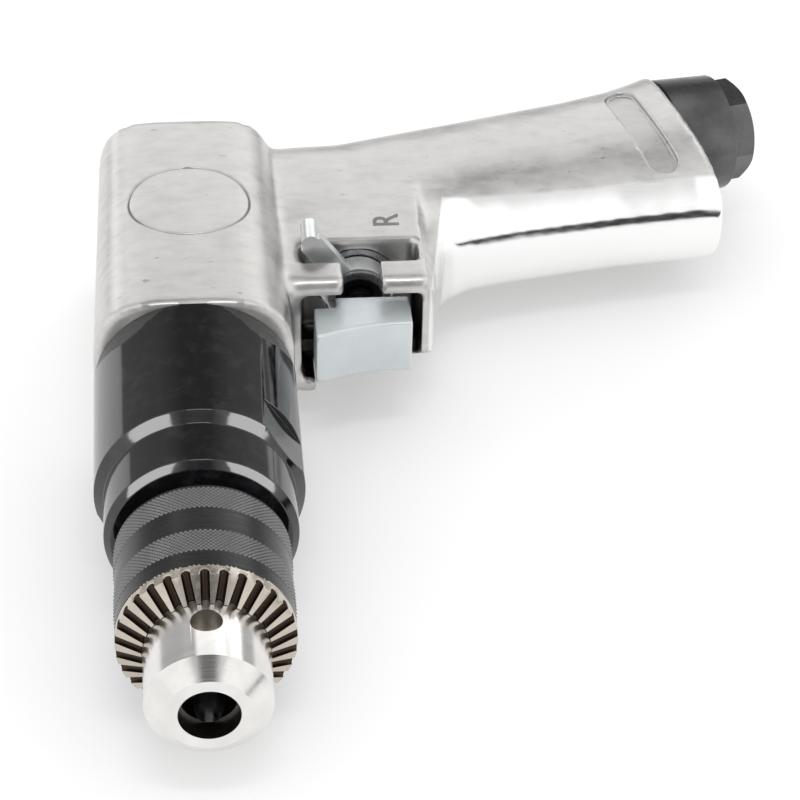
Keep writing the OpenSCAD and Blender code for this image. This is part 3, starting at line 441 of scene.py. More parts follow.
def pocket_shade_share(tree, place):
    """Painted shade: all over the trigger's pocket, and fainter towards the top of the lever's window."""
    full_shade, faint_shade = 0.9, 0.3
    full_shade_z, faint_shade_z = 7.2 * MM, 8.8 * MM
    axes = parts(tree, place, -1000, 1300)
    pocket = inside(tree, axes, POCKET, -800, 1300, soft=0.4)
    window = inside(tree, axes, WINDOW, -800, 900, soft=0.5)
    depth = spread(tree, axes[2], full_shade, faint_shade, -500, 800, full_shade_z, faint_shade_z)
    window = sums(tree, "MULTIPLY", window, depth, -300, 900)
    return sums(tree, "MAXIMUM", pocket, window, -150, 1000)


def cast_alloy(finish):
    """Tumbled casting whose grip front is ground and polished."""
    material, tree, shader, place = new_material("cast_alloy")
    shader.inputs["Metallic"].default_value = 1.0
    polish = polished_front(tree, place)
    streaked = stretched(tree, place, (0.55, 1.2, 1.0), -1100, 300)
    drawn = stretched(tree, place, (0.6, 1.2, 1.0), -1100, 700)
    ground = stretched(tree, place, (1.0, 9.0, 9.0), -1100, 100, (0, 0, GRIP_LEAN))
    broad = noise(tree, place, -900, 500, scale=95.0, detail=4.0)
    streak = noise(tree, streaked, -900, 300, scale=330.0, detail=5.0, rough=0.62)
    pits = noise(tree, drawn, -900, 700, scale=620.0, detail=2.0, rough=0.4)
    brushed = noise(tree, ground, -900, 100, scale=190.0, detail=4.0)
    fine = noise(tree, place, -900, -150, scale=1700.0, detail=2.0)
    mottle = sums(tree, "ADD", sums(tree, "MULTIPLY", broad, 0.45, -700, 500),
                  sums(tree, "MULTIPLY", streak, 0.55, -700, 300), -550, 400)

    # Pits, painted shade in the sunk marks and painted shade in the trigger's pocket darken the mottled
    # casting, and the polish covers them
    tint = ramp(tree, mottle, [(0.38, rgba(finish.cast, 0.86)), (0.5, rgba(finish.cast)),
                               (0.62, rgba(finish.cast, 1.1))], -400, 450)
    pitted = spread(tree, pits, 1.0, 0.0, -400, 700, 0.21, 0.27)
    tint = mixed(tree, pitted, tint, rgba(finish.cast, 0.6), -100, 500)
    # Painted shade in the badge's groove and on the sunk plate, noted where they were sunk
    grime = node(tree, "ShaderNodeAttribute", -700, 850, attribute_name="grime")
    shade_share = sums(tree, "MULTIPLY", grime.outputs["Fac"], 0.7, -500, 850)
    tint = mixed(tree, shade_share, tint, rgba(finish.cast, 0.22), -50, 600)
    # The trigger's pocket and the lever's window are painted dark as shade
    tint = mixed(tree, pocket_shade_share(tree, place), tint, rgba(finish.pocket_shade), 0, 700)
    tint = mixed(tree, polish, tint, rgba(finish.polished), 100, 350)
    tree.links.new(tint, shader.inputs["Base Color"])

    dull = spread(tree, mottle, 0.31, 0.43, -400, -50)
    bright = spread(tree, brushed, 0.10, 0.17, -400, -200)
    tree.links.new(blended(tree, polish, dull, bright, 0, -100), shader.inputs["Roughness"])

    # Lumps and grain fade out on the polished front, and the brushed lines run on
    cast_share = spread(tree, polish, 1.0, 0.12, -200, -500, 0.0, 1.0)
    lumpy = sums(tree, "MULTIPLY", streak, cast_share, -150, -350)
    grainy = sums(tree, "MULTIPLY", fine, cast_share, 100, -600)
    lumps = bump(tree, shader, lumpy, 0.028 * MM, 0, -350, strength=0.5)
    lines = bump(tree, shader, brushed, 0.006 * MM, 150, -450, strength=0.5, before=lumps)
    bump(tree, shader, grainy, 0.02 * MM, 280, -350, strength=0.4, before=lines)
    return material


def black_paint(finish):
    """Gloss paint with a soft orange-peel and faint scuffs."""
    material, tree, shader, place = new_material("black_paint")
    shader.inputs["IOR"].default_value = 1.65
    peel = noise(tree, place, -900, -250, scale=420.0, detail=2.0)
    scuff = noise(tree, place, -900, 100, scale=210.0, detail=7.0, rough=0.7)
    stops = [(0.5, rgba(finish.black_paint)), (0.75, rgba(finish.black_paint, 5.0))]
    tree.links.new(ramp(tree, scuff, stops, -600, 250), shader.inputs["Base Color"])
    tree.links.new(spread(tree, scuff, 0.05, 0.12, -600, 0), shader.inputs["Roughness"])
    bump(tree, shader, peel, 0.02 * MM, 100, -250, strength=0.5)
    return material


def dull_finish(name, base, rough, grain=1500.0, depth=0.03):
    """Dull finish: rubber, fibre, felt or the dark mark, with the grain's depth in millimetres."""
    material, tree, shader, place = new_material(name)
    fine = noise(tree, place, -900, -250, scale=grain, detail=3.0)
    broad = noise(tree, place, -900, 250, scale=150.0, detail=5.0)
    tint = ramp(tree, broad, [(0.3, rgba(base, 0.8)), (0.7, rgba(base, 1.5))], -600, 250)
    tree.links.new(tint, shader.inputs["Base Color"])
    tree.links.new(spread(tree, broad, rough - 0.08, rough + 0.1, -600, 0), shader.inputs["Roughness"])
    bump(tree, shader, fine, depth * MM, 100, -250, strength=0.6)
    return material


def tooth_groove(finish):
    """Painted shade between the key teeth and in the key holes, lighter towards the nose."""
    material, tree, shader, place = new_material("tooth_groove")
    shader.inputs["Metallic"].default_value = 1.0
    _, along, _ = parts(tree, place, -900, 200)
    fine = noise(tree, place, -900, -250, scale=1200.0, detail=3.0)
    ragged = sums(tree, "MULTIPLY", fine, 1 * MM, -700, 0)
    along = sums(tree, "ADD", along, ragged, -550, 200)
    graded_shade = spread(tree, along, 1.0, 0.0, -400, 200, *GROOVE_SHADE_FADE)
    tint = mixed(tree, graded_shade, rgba(finish.groove), rgba(finish.tooth, 0.75), -200, 200)
    tree.links.new(tint, shader.inputs["Base Color"])
    tree.links.new(spread(tree, fine, 0.34, 0.48, -200, 0), shader.inputs["Roughness"])
    bump(tree, shader, fine, 0.02 * MM, 100, -250)
    return material


def make_materials(finish):
    """All finishes by name."""
    return {
        "cast": cast_alloy(finish),
        "paint": black_paint(finish),
        "sleeve": turned_metal("sleeve_black", finish.sleeve, rough=0.32, pitch=0.2),
        "knurl": metal("knurl_points", finish.knurl, rough=0.34, mottle=0.15, grain=1500.0, depth=0.01),
        "tooth": metal("tooth_nickel", finish.tooth, rough=0.26, mottle=0.10, depth=0.01),
        "groove": tooth_groove(finish),
        "bright": turned_metal("bright_steel", finish.bright, rough=0.20, pitch=0.22, depth=0.0012),
        "steel": metal("machined_steel", finish.steel, rough=0.30),
        "zinc": metal("zinc_casting", finish.zinc, rough=0.36, mottle=0.08, grain=1100.0, metallic=0.5),
        "lever": metal("lever_plate", finish.lever, rough=0.30, mottle=0.08, grain=1100.0, depth=0.001,
                       metallic=0.8, wear=0.02),
        "bronze": turned_metal("bronze", finish.bronze, rough=0.3),
        "oxide": metal("black_oxide", finish.oxide, rough=0.30, mottle=0.35, grain=1500.0, depth=0.006,
                       metallic=0.9),
        "inside": metal("chuck_bore_dark", finish.inside, rough=0.45, mottle=0.2),
        "rubber": dull_finish("rubber_black", finish.rubber, rough=0.6),
        "fibre": dull_finish("vane_fibre", finish.fibre, rough=0.6, grain=700.0, depth=0.05),
        "felt": dull_finish("felt_grey", finish.felt, rough=0.9, grain=900.0, depth=0.2),
        "mark": dull_finish("mark_dirt", finish.mark, rough=0.6),
    }


# Modelling helpers

def only(obj):
    """Deselects everything and makes one object selected and active."""
    if bpy.context.object and bpy.context.object.mode != "OBJECT":
        bpy.ops.object.mode_set(mode="OBJECT")
    bpy.ops.object.select_all(action="DESELECT")
    obj.select_set(True)
    bpy.context.view_layer.objects.active = obj


def apply(obj, kind, **values):
    """Adds a modifier, sets its values and applies it."""
    only(obj)
    made = obj.modifiers.new(kind.title(), kind)
    for key, value in values.items():
        setattr(made, key, value)
    bpy.ops.object.modifier_apply(modifier=made.name)


def merged_copy(cad_node, name):
    """Copy of a CAD node's mesh with its loose triangles merged into faces."""
    copy = frame["nodes"][cad_node].copy()
    copy.data = copy.data.copy()
    copy.name = copy.data.name = name
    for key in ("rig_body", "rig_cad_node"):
        del copy[key]
    copy.parent = None
    copy.data.materials.clear()
    bpy.context.scene.collection.objects.link(copy)
    only(copy)
    bpy.ops.object.mode_set(mode="EDIT")
    bpy.ops.mesh.select_all(action="SELECT")
    bpy.ops.mesh.remove_doubles(threshold=WELD)
    bpy.ops.mesh.dissolve_limited(angle_limit=FLAT_ANGLE)
    bpy.ops.object.mode_set(mode="OBJECT")
    return copy


def rounded(obj, width, segments=2, angle=28):
    """Bevels the edges sharper than an angle in degrees and smooths the faces between them."""
    apply(obj, "BEVEL", width=width, segments=segments, limit_method="ANGLE",
          angle_limit=math.radians(angle), use_clamp_overlap=True, harden_normals=False)
    only(obj)
    bpy.ops.object.shade_smooth_by_angle(angle=math.radians(angle))
    apply(obj, "WEIGHTED_NORMAL", keep_sharp=True)


def softened(obj, voxel, steps):
    """Rebuilds a casting on a fine grid and rounds its edges."""
    apply(obj, "REMESH", mode="VOXEL", voxel_size=voxel, adaptivity=0.0)
    apply(obj, "SMOOTH", factor=0.5, iterations=steps)
    only(obj)
    bpy.ops.object.shade_smooth_by_angle(angle=CAST_ANGLE)


def split_near(obj, near, cuts):
    """Splits the faces that lie near a mark into smaller ones."""
    only(obj)
    bpy.ops.object.mode_set(mode="EDIT")
    bpy.ops.mesh.select_mode(type="FACE")
    bpy.ops.mesh.select_all(action="DESELECT")
    bpy.ops.object.mode_set(mode="OBJECT")
    for face in obj.data.polygons:
        face.select = near(face.center)
    bpy.ops.object.mode_set(mode="EDIT")
    bpy.ops.mesh.subdivide(number_cuts=cuts)
    bpy.ops.object.mode_set(mode="OBJECT")


def sink(obj, depth_at, deepest, painted_shade):
    """Sinks the vertices by the depth at each place, and notes the painted shade that darkens the hollow
    there.
    """
    mesh = obj.data
    depths = [depth_at(vertex.co) for vertex in mesh.vertices]
    moved = [vertex.co - vertex.normal * depth for vertex, depth in zip(mesh.vertices, depths)]
    mesh.vertices.foreach_set("co", [c for place in moved for c in place])
    if "grime" not in mesh.attributes:
        mesh.attributes.new("grime", "FLOAT", "POINT")
    for spot, depth in zip(mesh.attributes["grime"].data, depths):
        spot.value = max(spot.value, painted_shade(depth / deepest))
    mesh.update()


def dress(obj, body, slot, *materials):
    """Puts materials on a piece and ties it to its body."""
    for material in materials:
        obj.data.materials.append(material)
    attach(obj, body)


def place_in_mesh(obj, matrix):
    """Moves an object's mesh into place and leaves the object at the origin."""
    obj.data.transform(matrix)
    obj.matrix_world = Matrix.Identity(4)


def in_grip(point):
    """Point of the object in the grip's frame: down the grip, across it and up."""
    return TO_GRIP @ (point - GRIP_FOOT)


def surface_height(obj, x, y):
    """Height of the upper surface over a point."""
    hit, place, _, _ = obj.ray_cast(Vector((x, y, OVERHEAD)), Vector((0, 0, -1)))
    if not hit:
        raise RuntimeError(f"no surface of {obj.name} under {x:.4f}, {y:.4f}")
    return place.z


MATERIALS = {}


class PieceOperator:
    """Shared parts of the piece operators."""

    bl_options = {"REGISTER", "UNDO"}

    @property
    def scene(self):
        """Scene that the pieces and the stage go into."""
        return bpy.context.scene


class AIRDRILL_OT_finishes(PieceOperator, bpy.types.Operator):
    """Make the finishes and put them on the nodes that keep their own shape"""

    bl_idname = "airdrill.finishes"
    bl_label = "Finishes"

    kept = {
        "bright": ("spindle_bearing_front", "spindle_bearing_rear", "planet_pins",
                   "rotor_bearing_front", "rotor_bearing_rear", "cylinder_dowel", "inlet_screen"),
        "steel": ("chuck_nut", "chuck_screw", "spindle", "bearing_spacer", "ring_gear", "planet_gear_1",
                  "planet_gear_2", "planet_gear_3", "rotor", "motor_cylinder", "trigger_stem",
                  "valve_bushing", "lever_clip"),
        "bronze": ("front_end_plate", "rear_end_plate", "throttle_seat"),
        "sleeve": ("reverse_valve", "chuck_jaw_1", "chuck_jaw_2", "chuck_jaw_3"),
        "rubber": ("throttle_valve", "inlet_seal"),
        "fibre": ("rotor_vanes",),
        "felt": ("exhaust_muffler",),
    }

    def execute(self, context):
        MATERIALS.update(make_materials(context.scene.drill_finish))
        for finish, names in self.kept.items():
            for name in names:
                slots = frame["nodes"][name].data.materials
                slots.clear()
                slots.append(MATERIALS[finish])
        return {"FINISHED"}


class AIRDRILL_OT_housing(PieceOperator, bpy.types.Operator):
    """Soften the cast housing and sink its round badge and its plate"""

    bl_idname = "airdrill.housing"
    bl_label = "Housing"

    smooth_angle = math.radians(50)
    # Distance in metres given to the lower side, where no mark is sunk
    far_off = 1.0
    # Painted shade on the sunk plate: at its edge and all over it
    edge_shade = 3.2
    floor_shade = 0.2
    # How squarely a bore's wall faces the spindle
    facing_in = -0.5
    # Blend beside the barrel, in millimetres of the frame
    side_x = (15.5, 24.0)
    side_y = 113
    side_z = (7.0, 18.5)
    side_fade = 2
    # Blend on the grip's front, in millimetres down the grip and across it
    front_down = (47.0, 110.0)
    front_across = -15.0
    front_fade = 4
    front_share = 0.5

    def badge(self, obj, casting):
        """Groove round the bare badge on the barrel's upper side."""
        def off(point):
            if point.z < 0:
                return self.far_off
            away = math.hypot(point.x - casting.badge_x, point.y - casting.badge_y)
            return abs(away - casting.badge_r)

        def depth_at(point):
            share = min(1.0, off(point) / casting.groove)
            return casting.groove_depth * (1 + math.cos(math.pi * share)) / 2

        split_near(obj, lambda point: off(point) < casting.groove + casting.voxel, cuts=4)
        # The groove is painted darker the deeper it lies, as shade in its hollow
        sink(obj, depth_at, casting.groove_depth, lambda share: share)

    def plate(self, obj, casting):
        """Sunk bare plate with round ends near the grip's end."""
        radius = casting.plate_w / 2
        half = casting.plate_len / 2 - radius

        def off(point):
            place = in_grip(point)
            if place.z < 0:
                return self.far_off
            along = abs(place.y + casting.plate_n)
            return math.hypot(place.x - casting.plate_l, max(0.0, along - half)) - radius

        def depth_at(point):
            share = min(1.0, max(0.0, -off(point) / casting.plate_edge))
            return casting.plate_depth * (1 - math.cos(math.pi * share)) / 2

        # Painted shade, strongest on the plate's sloping edge and faint over its floor
        def painted_shade(share):
            return self.edge_shade * share * (1 - share) + self.floor_shade * share

        split_near(obj, lambda point: abs(off(point) + casting.plate_edge / 2) < casting.plate_edge, cuts=3)
        sink(obj, depth_at, casting.plate_depth, painted_shade)

    def thin_bore(self, obj, casting):
        """Takes triangles out of the motor's bore, which the gear case closes."""
        group = obj.vertex_groups.new(name="bore")
        bore = []
        for vertex in obj.data.vertices:
            away = Vector((vertex.co.x, 0, vertex.co.z))
            outward = vertex.normal.dot(away.normalized())
            if away.length < casting.bore_reach and outward < self.facing_in:
                bore.append(vertex.index)
        group.add(bore, 1.0, "REPLACE")
        share = len(bore) / len(obj.data.vertices)
        apply(obj, "DECIMATE", ratio=1 - casting.bore_thinning * share, vertex_group="bore")
        obj.vertex_groups.clear()

    def blend_share(self, point):
        """Share of the smoothing at a point, which fades out at the ends of the two blends."""
        x, y, z = (c / MM for c in point)
        down, across, _ = (c / MM for c in in_grip(point))
        low, high = self.side_x
        if low < x < high and y > self.side_y and self.side_z[0] < abs(z) < self.side_z[1]:
            return min(1.0, (x - low) / self.side_fade, (high - x) / self.side_fade)
        low, high = self.front_down
        if low < down < high and across < self.front_across:
            return min(self.front_share, (down - low) / self.front_fade, (high - down) / self.front_fade)
        return 0.0

    def root(self, obj, casting):
        """Blends the barrel's sides into the grip and evens the polished front."""
        group = obj.vertex_groups.new(name="root")
        for vertex in obj.data.vertices:
            share = self.blend_share(vertex.co)
            if share > 0:
                group.add([vertex.index], share, "REPLACE")
        apply(obj, "SMOOTH", factor=0.5, iterations=casting.root_steps, vertex_group="root")
        obj.vertex_groups.clear()

    def execute(self, context):
        casting = context.scene.drill_casting
        obj = merged_copy("housing", "housing_casting")
        softened(obj, casting.voxel, casting.smooth_steps)
        self.thin_bore(obj, casting)
        self.root(obj, casting)
        self.badge(obj, casting)
        self.plate(obj, casting)
        only(obj)
        bpy.ops.object.shade_smooth_by_angle(angle=self.smooth_angle)
        dress(obj, "case", "cast_alloy", MATERIALS["cast"])
        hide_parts("housing")
        return {"FINISHED"}


class AIRDRILL_OT_reverse_mark(PieceOperator, bpy.types.Operator):
    """Mark the reverse side of the lever with its letter"""

    bl_idname = "airdrill.reverse_mark"
    bl_label = "Reverse mark"

    # Height of a capital letter as a share of the text's size
    capital = 0.7
    # Thickening of the letter's strokes
    stroke = 0.00008
    # Shift of the letter's foot along the tool, and its depth in the casting
    shift = 2 * MM
    bedding = 0.06 * MM

    def execute(self, context):
        casting = context.scene.drill_casting
        bpy.ops.object.select_all(action="DESELECT")
        bpy.ops.object.text_add()
        text = bpy.context.object
        text.data.body = "R"
        text.data.size = casting.mark_size / self.capital
        text.data.extrude = casting.mark_depth
        text.data.offset = self.stroke
        text.data.align_x = "CENTER"
        bpy.ops.object.convert(target="MESH")
        mark = bpy.context.object
        mark.name = mark.data.name = "reverse_mark"
        height = surface_height(bpy.data.objects["housing_casting"], casting.mark_x, casting.mark_y)
        place = Vector((casting.mark_x + casting.mark_size / 2, casting.mark_y + self.shift,
                        height - self.bedding))
        place_in_mesh(mark, Matrix.Translation(place) @ Matrix.Rotation(math.radians(90), 4, "Z"))
        dress(mark, "case", "cast_alloy", MATERIALS["mark"])
        return {"FINISHED"}


class AIRDRILL_OT_gear_case(PieceOperator, bpy.types.Operator):
    """Round the edges of the painted gear case"""

    bl_idname = "airdrill.gear_case"
    bl_label = "Gear case"

    def execute(self, context):
        obj = merged_copy("gear_case", "gear_case_painted")
        rounded(obj, context.scene.drill_edges.case, segments=3)
        dress(obj, "case", "black_paint", MATERIALS["paint"])
        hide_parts("gear_case")
        return {"FINISHED"}


class AIRDRILL_OT_chuck_body(PieceOperator, bpy.types.Operator):
    """Polish the chuck's nose and paint shade into its mouth and key holes"""

    bl_idname = "airdrill.chuck_body"
    bl_label = "Chuck body"

    # Reach of the mouth, start of the outer wall, and where along the nose the key holes lie
    mouth = 6.6 * MM
    wall = 7.2 * MM
    holes = (8 * MM, 19 * MM)
    # How squarely the mouth's wall faces the spindle, and how far a key hole's wall may face outwards
    facing_in = -0.3
    facing_along = 0.35

    def finish_at(self, face):
        """Slot of a face's finish: painted shade in the mouth and the key holes, bright elsewhere."""
        bright, dark, graded_shade = range(3)
        away = Vector((face.center.x, 0, face.center.z))
        outward = face.normal.dot(away.normalized())
        if away.length < self.mouth and outward < self.facing_in:
            return dark
        near_holes = self.holes[0] < face.center.y < self.holes[1]
        if away.length > self.wall and abs(outward) < self.facing_along and near_holes:
            return graded_shade
        return bright

    def execute(self, context):
        obj = merged_copy("chuck_body", "chuck_nose")
        rounded(obj, context.scene.drill_edges.nose, angle=30)
        # The mouth and the key holes take painted shade
        finishes = [MATERIALS[name] for name in ("bright", "inside", "groove")]
        dress(obj, "spindle", "bright_steel", *finishes)
        for face in obj.data.polygons:
            face.material_index = self.finish_at(face)
        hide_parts("chuck_body")
        return {"FINISHED"}


class AIRDRILL_OT_chuck_sleeve(PieceOperator, bpy.types.Operator):
    """Finish the chuck sleeve: nickelled teeth, painted shade in the grooves and a blackened body"""

    bl_idname = "airdrill.chuck_sleeve"
    bl_label = "Chuck sleeve"

    ring_end = 22.2 * MM
    tooth_count = 30
    # Depth of the ring's outer rim, which stays bright
    rim = 0.2 * MM
    # Half width of a groove as a share of the pitch, and how far a groove's wall leans across the ring
    groove_share = 0.2
    lean = 0.25

    def in_groove(self, centre, normal):
        """A face of a tooth groove: it lies near a groove's middle or leans across the ring."""
        angle = math.degrees(math.atan2(centre.z, centre.x)) % 360
        step = 360 / self.tooth_count
        across = abs((angle % step) - step / 2) / step
        radial = Vector((centre.x, 0, centre.z)).normalized()
        sideways = abs(normal.dot(radial.cross(Vector((0, 1, 0)))))
        return across < self.groove_share or sideways > self.lean

    def execute(self, context):
        obj = merged_copy("chuck_sleeve", "chuck_sleeve_finished")
        only(obj)
        bpy.ops.object.mode_set(mode="EDIT")
        bpy.ops.mesh.select_all(action="SELECT")
        bpy.ops.mesh.bisect(plane_co=(0, self.ring_end, 0), plane_no=(0, 1, 0))
        bpy.ops.object.mode_set(mode="OBJECT")
        rounded(obj, context.scene.drill_edges.sleeve, segments=1, angle=32)
        finishes = [MATERIALS[name] for name in ("sleeve", "tooth", "groove")]
        dress(obj, "sleeve", "dark_steel", *finishes)
        _, tooth, groove = range(3)
        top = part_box("chuck_sleeve")[1].z
        for face in obj.data.polygons:
            if face.center.y > self.ring_end:
                continue
            outside = Vector((face.center.x, 0, face.center.z)).length > top - self.rim
            sunk = not outside and self.in_groove(face.center, face.normal)
            # Groove faces take the painted shade
            face.material_index = groove if sunk else tooth
        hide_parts("chuck_sleeve")
        return {"FINISHED"}


class AIRDRILL_OT_sleeve_knurl(PieceOperator, bpy.types.Operator):
    """Roll two bands of diamond knurl round the chuck sleeve"""

    bl_idname = "airdrill.sleeve_knurl"
    bl_label = "Sleeve knurl"

    # Depth of the knurl's hollows under the sleeve's surface
    hollow = 0.03 * MM

    def band(self, name, start, knurl):
        """Tube whose crossing points stand up in diamonds."""
        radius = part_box("chuck_sleeve")[1].z
        columns, rows = 2 * knurl.round, 2 * knurl.rows
        bpy.ops.object.select_all(action="DESELECT")
        bpy.ops.mesh.primitive_grid_add(x_subdivisions=columns, y_subdivisions=rows, size=1)
        obj = bpy.context.object
        obj.name = obj.data.name = name
        for vertex in obj.data.vertices:
            column = round((vertex.co.x + 0.5) * columns)
            row = round((vertex.co.y + 0.5) * rows)
            edge = row in (0, rows)
            high = (column + row) % 2 == 0 and not edge
            reach = radius + (knurl.height if high else -self.hollow)
            angle = 2 * math.pi * column / columns
            along = start + knurl.width * row / rows
            vertex.co = (reach * math.cos(angle), along, reach * math.sin(angle))
        only(obj)
        bpy.ops.object.mode_set(mode="EDIT")
        bpy.ops.mesh.select_all(action="SELECT")
        bpy.ops.mesh.remove_doubles(threshold=0.001 * MM)
        bpy.ops.mesh.quads_convert_to_tris(quad_method="SHORTEST_DIAGONAL")
        bpy.ops.mesh.normals_make_consistent(inside=False)
        bpy.ops.object.mode_set(mode="OBJECT")
        dress(obj, "sleeve", "dark_steel", MATERIALS["knurl"])

    def execute(self, context):
        knurl = context.scene.drill_knurl
        self.band("knurl_front", knurl.first, knurl)
        self.band("knurl_rear", knurl.second, knurl)
        return {"FINISHED"}


class AIRDRILL_OT_trigger_group(PieceOperator, bpy.types.Operator):
    """Round the trigger and the reverse lever"""

    bl_idname = "airdrill.trigger_group"
    bl_label = "Trigger and lever"

    def execute(self, context):
        edges = context.scene.drill_edges
        trigger = merged_copy("trigger", "trigger_casting")
        softened(trigger, edges.grain, edges.trigger_steps)
        dress(trigger, "trigger", "zinc", MATERIALS["zinc"])
        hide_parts("trigger")
        lever = merged_copy("reverse_lever", "reverse_lever_plate")
        rounded(lever, edges.lever)
        dress(lever, "reverse", "zinc", MATERIALS["lever"])
        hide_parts("reverse_lever")
        return {"FINISHED"}


class AIRDRILL_OT_throttle_spring(PieceOperator, bpy.types.Operator):
    """Make the spring behind the throttle valve on a mesh of its own"""

    bl_idname = "airdrill.throttle_spring"
    bl_label = "Throttle spring"

    def execute(self, context):
        coil = merged_copy("throttle_spring", "throttle_spring_coil")
        dress(coil, "case", "bright_steel", MATERIALS["bright"])
        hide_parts("throttle_spring")
        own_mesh(coil)
        return {"FINISHED"}


class AIRDRILL_OT_inlet(PieceOperator, bpy.types.Operator):
    """Round the blackened inlet collar and hexagon"""

    bl_idname = "airdrill.inlet"
    bl_label = "Air inlet"

    def execute(self, context):
        for name in ("inlet_collar", "air_inlet"):
            obj = merged_copy(name, name + "_blackened")
            rounded(obj, context.scene.drill_edges.inlet)
            dress(obj, "case", "black_oxide", MATERIALS["oxide"])
            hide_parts(name)
        return {"FINISHED"}


class AIRDRILL_OT_stage(PieceOperator, bpy.types.Operator):
    """Lay the floor and set the light and the camera"""

    bl_idname = "airdrill.stage"
    bl_label = "Stage"

    floor_size = 6.0
    # Dark strip of floor in metres: where it fades in, widens and fades out down the grip,
    # the softness of its near and far edges, and its brightness
    strip_in = (0.062, 0.105)
    strip_flare = (0.08, 0.14)
    strip_out = (0.19, 0.26)
    near_edge = (-0.01, 0.01)
    far_edge = (-0.04, 0.06)
    strip_level = 0.03
    # Directions of the room: its white sides, their end behind the tool, its top, and its low back
    side_x = (0.15, 0.4)
    side_y = (0.45, 0.88)
    top_z = (0.75, 0.92)
    back_y = (0.84, 0.92)
    back_z = (0.28, 0.42)
    # Points that the lamps face
    middle = (0.05, 0.08, 0.0)
    case_middle = (0.0, 0.05, 0.0)
    # Each lamp's name, setting, size, place and target, and the pieces that it lights, or none for all
    lamps = (
        ("key_light", "key", (0.9, 0.18), (0.12, 0.70, 0.355), middle,
         ("housing_casting", "trigger_casting", "reverse_lever_plate", "chuck_nose",
          "chuck_sleeve_finished", "knurl_front", "knurl_rear", "floor")),
        ("edge_light", "edge", (0.34, 0.12), (0.03, -0.16, 0.85), middle, ()),
        ("case_light_left", "case", (0.28, 0.48), (-0.38, -0.23, 0.27), case_middle,
         ("gear_case_painted",)),
        ("case_light_right", "case", (0.28, 0.48), (0.41, -0.23, 0.27), case_middle,
         ("gear_case_painted",)),
        ("nose_light", "nose", (0.5, 0.26), (0.06, 0.64, 0.48), (0.0, 0.01, 0.0), ("chuck_nose",)),
        ("shoulder_light", "shoulder", (0.22, 0.22), (-0.38, 0.67, 0.19), (0.0, 0.12, 0.02),
         ("housing_casting",)),
    )
    sensor = 36.0
    clip_start = 0.01

    def white_rays(self, tree, x, y):
        """One for the rays that show the stage as it is: camera, mirror and glass rays."""
        path = node(tree, "ShaderNodeLightPath", x, y)
        rays = ("Is Camera Ray", "Is Glossy Ray", "Is Transmission Ray")
        camera, mirror, glass = (path.outputs[name] for name in rays)
        either = sums(tree, "MAXIMUM", camera, mirror, x + 200, y)
        return sums(tree, "MAXIMUM", either, glass, x + 400, y)

    def dark_strip(self, tree, stage):
        """One for mirror rays that meet the strip of floor before the grip, as in a studio's dark front."""
        near = [stage.band_near + edge for edge in self.near_edge]
        far = [stage.band_far + edge for edge in self.far_edge]
        place = node(tree, "ShaderNodeNewGeometry", -1400, -300)
        down, across, _ = grip_parts(tree, place.outputs["Position"], -1200, -300)
        before = sums(tree, "MULTIPLY", across, -1.0, -800, -300)
        start = spread(tree, before, 0.0, 1.0, -600, -250, *near)
        reach = spread(tree, down, 0.0, stage.band_flare, -800, -450, *self.strip_flare)
        end = spread(tree, sums(tree, "SUBTRACT", before, reach, -700, -450), 1.0, 0.0, -600, -450, *far)
        fade_in = spread(tree, down, 0.0, 1.0, -600, -650, *self.strip_in)
        fade_out = spread(tree, down, 1.0, 0.0, -600, -700, *self.strip_out)
        path = node(tree, "ShaderNodeLightPath", -600, -850)
        width = sums(tree, "MULTIPLY", start, end, -400, -300)
        ends = sums(tree, "MULTIPLY", fade_in, fade_out, -450, -650)
        strip = sums(tree, "MULTIPLY", width, ends, -250, -300)
        return sums(tree, "MULTIPLY", strip, path.outputs["Is Glossy Ray"], -250, -450)

    def floor(self, stage):
        """Pale floor that keeps the tool's shadow."""
        bpy.ops.object.select_all(action="DESELECT")
        bpy.ops.mesh.primitive_plane_add(size=self.floor_size, location=(0, 0, CAD_BOX[0][2]))
        floor = bpy.context.object
        floor.name = "floor"
        material = bpy.data.materials.new("floor_paper")
        material.use_nodes = True
        tree = material.node_tree
        tree.nodes.clear()
        output = node(tree, "ShaderNodeOutputMaterial", 700, 0)
        matt = node(tree, "ShaderNodeBsdfDiffuse", 0, 0, Color=rgba(stage.floor))
        white = node(tree, "ShaderNodeEmission", 0, -200, Color=(1, 1, 1, 1))
        strip = self.dark_strip(tree, stage)
        level = spread(tree, strip, 1.0, self.strip_level, -100, -300, 0.0, 1.0)
        tree.links.new(level, white.inputs["Strength"])
        share = sums(tree, "MULTIPLY", self.white_rays(tree, -600, 200), stage.floor_white, 100, 200)
        blend = node(tree, "ShaderNodeMixShader", 400, 0)
        tree.links.new(sums(tree, "MAXIMUM", share, strip, 250, 200), blend.inputs[0])
        tree.links.new(matt.outputs[0], blend.inputs[1])
        tree.links.new(white.outputs[0], blend.inputs[2])
        tree.links.new(blend.outputs[0], output.inputs["Surface"])
        floor.data.materials.append(material)

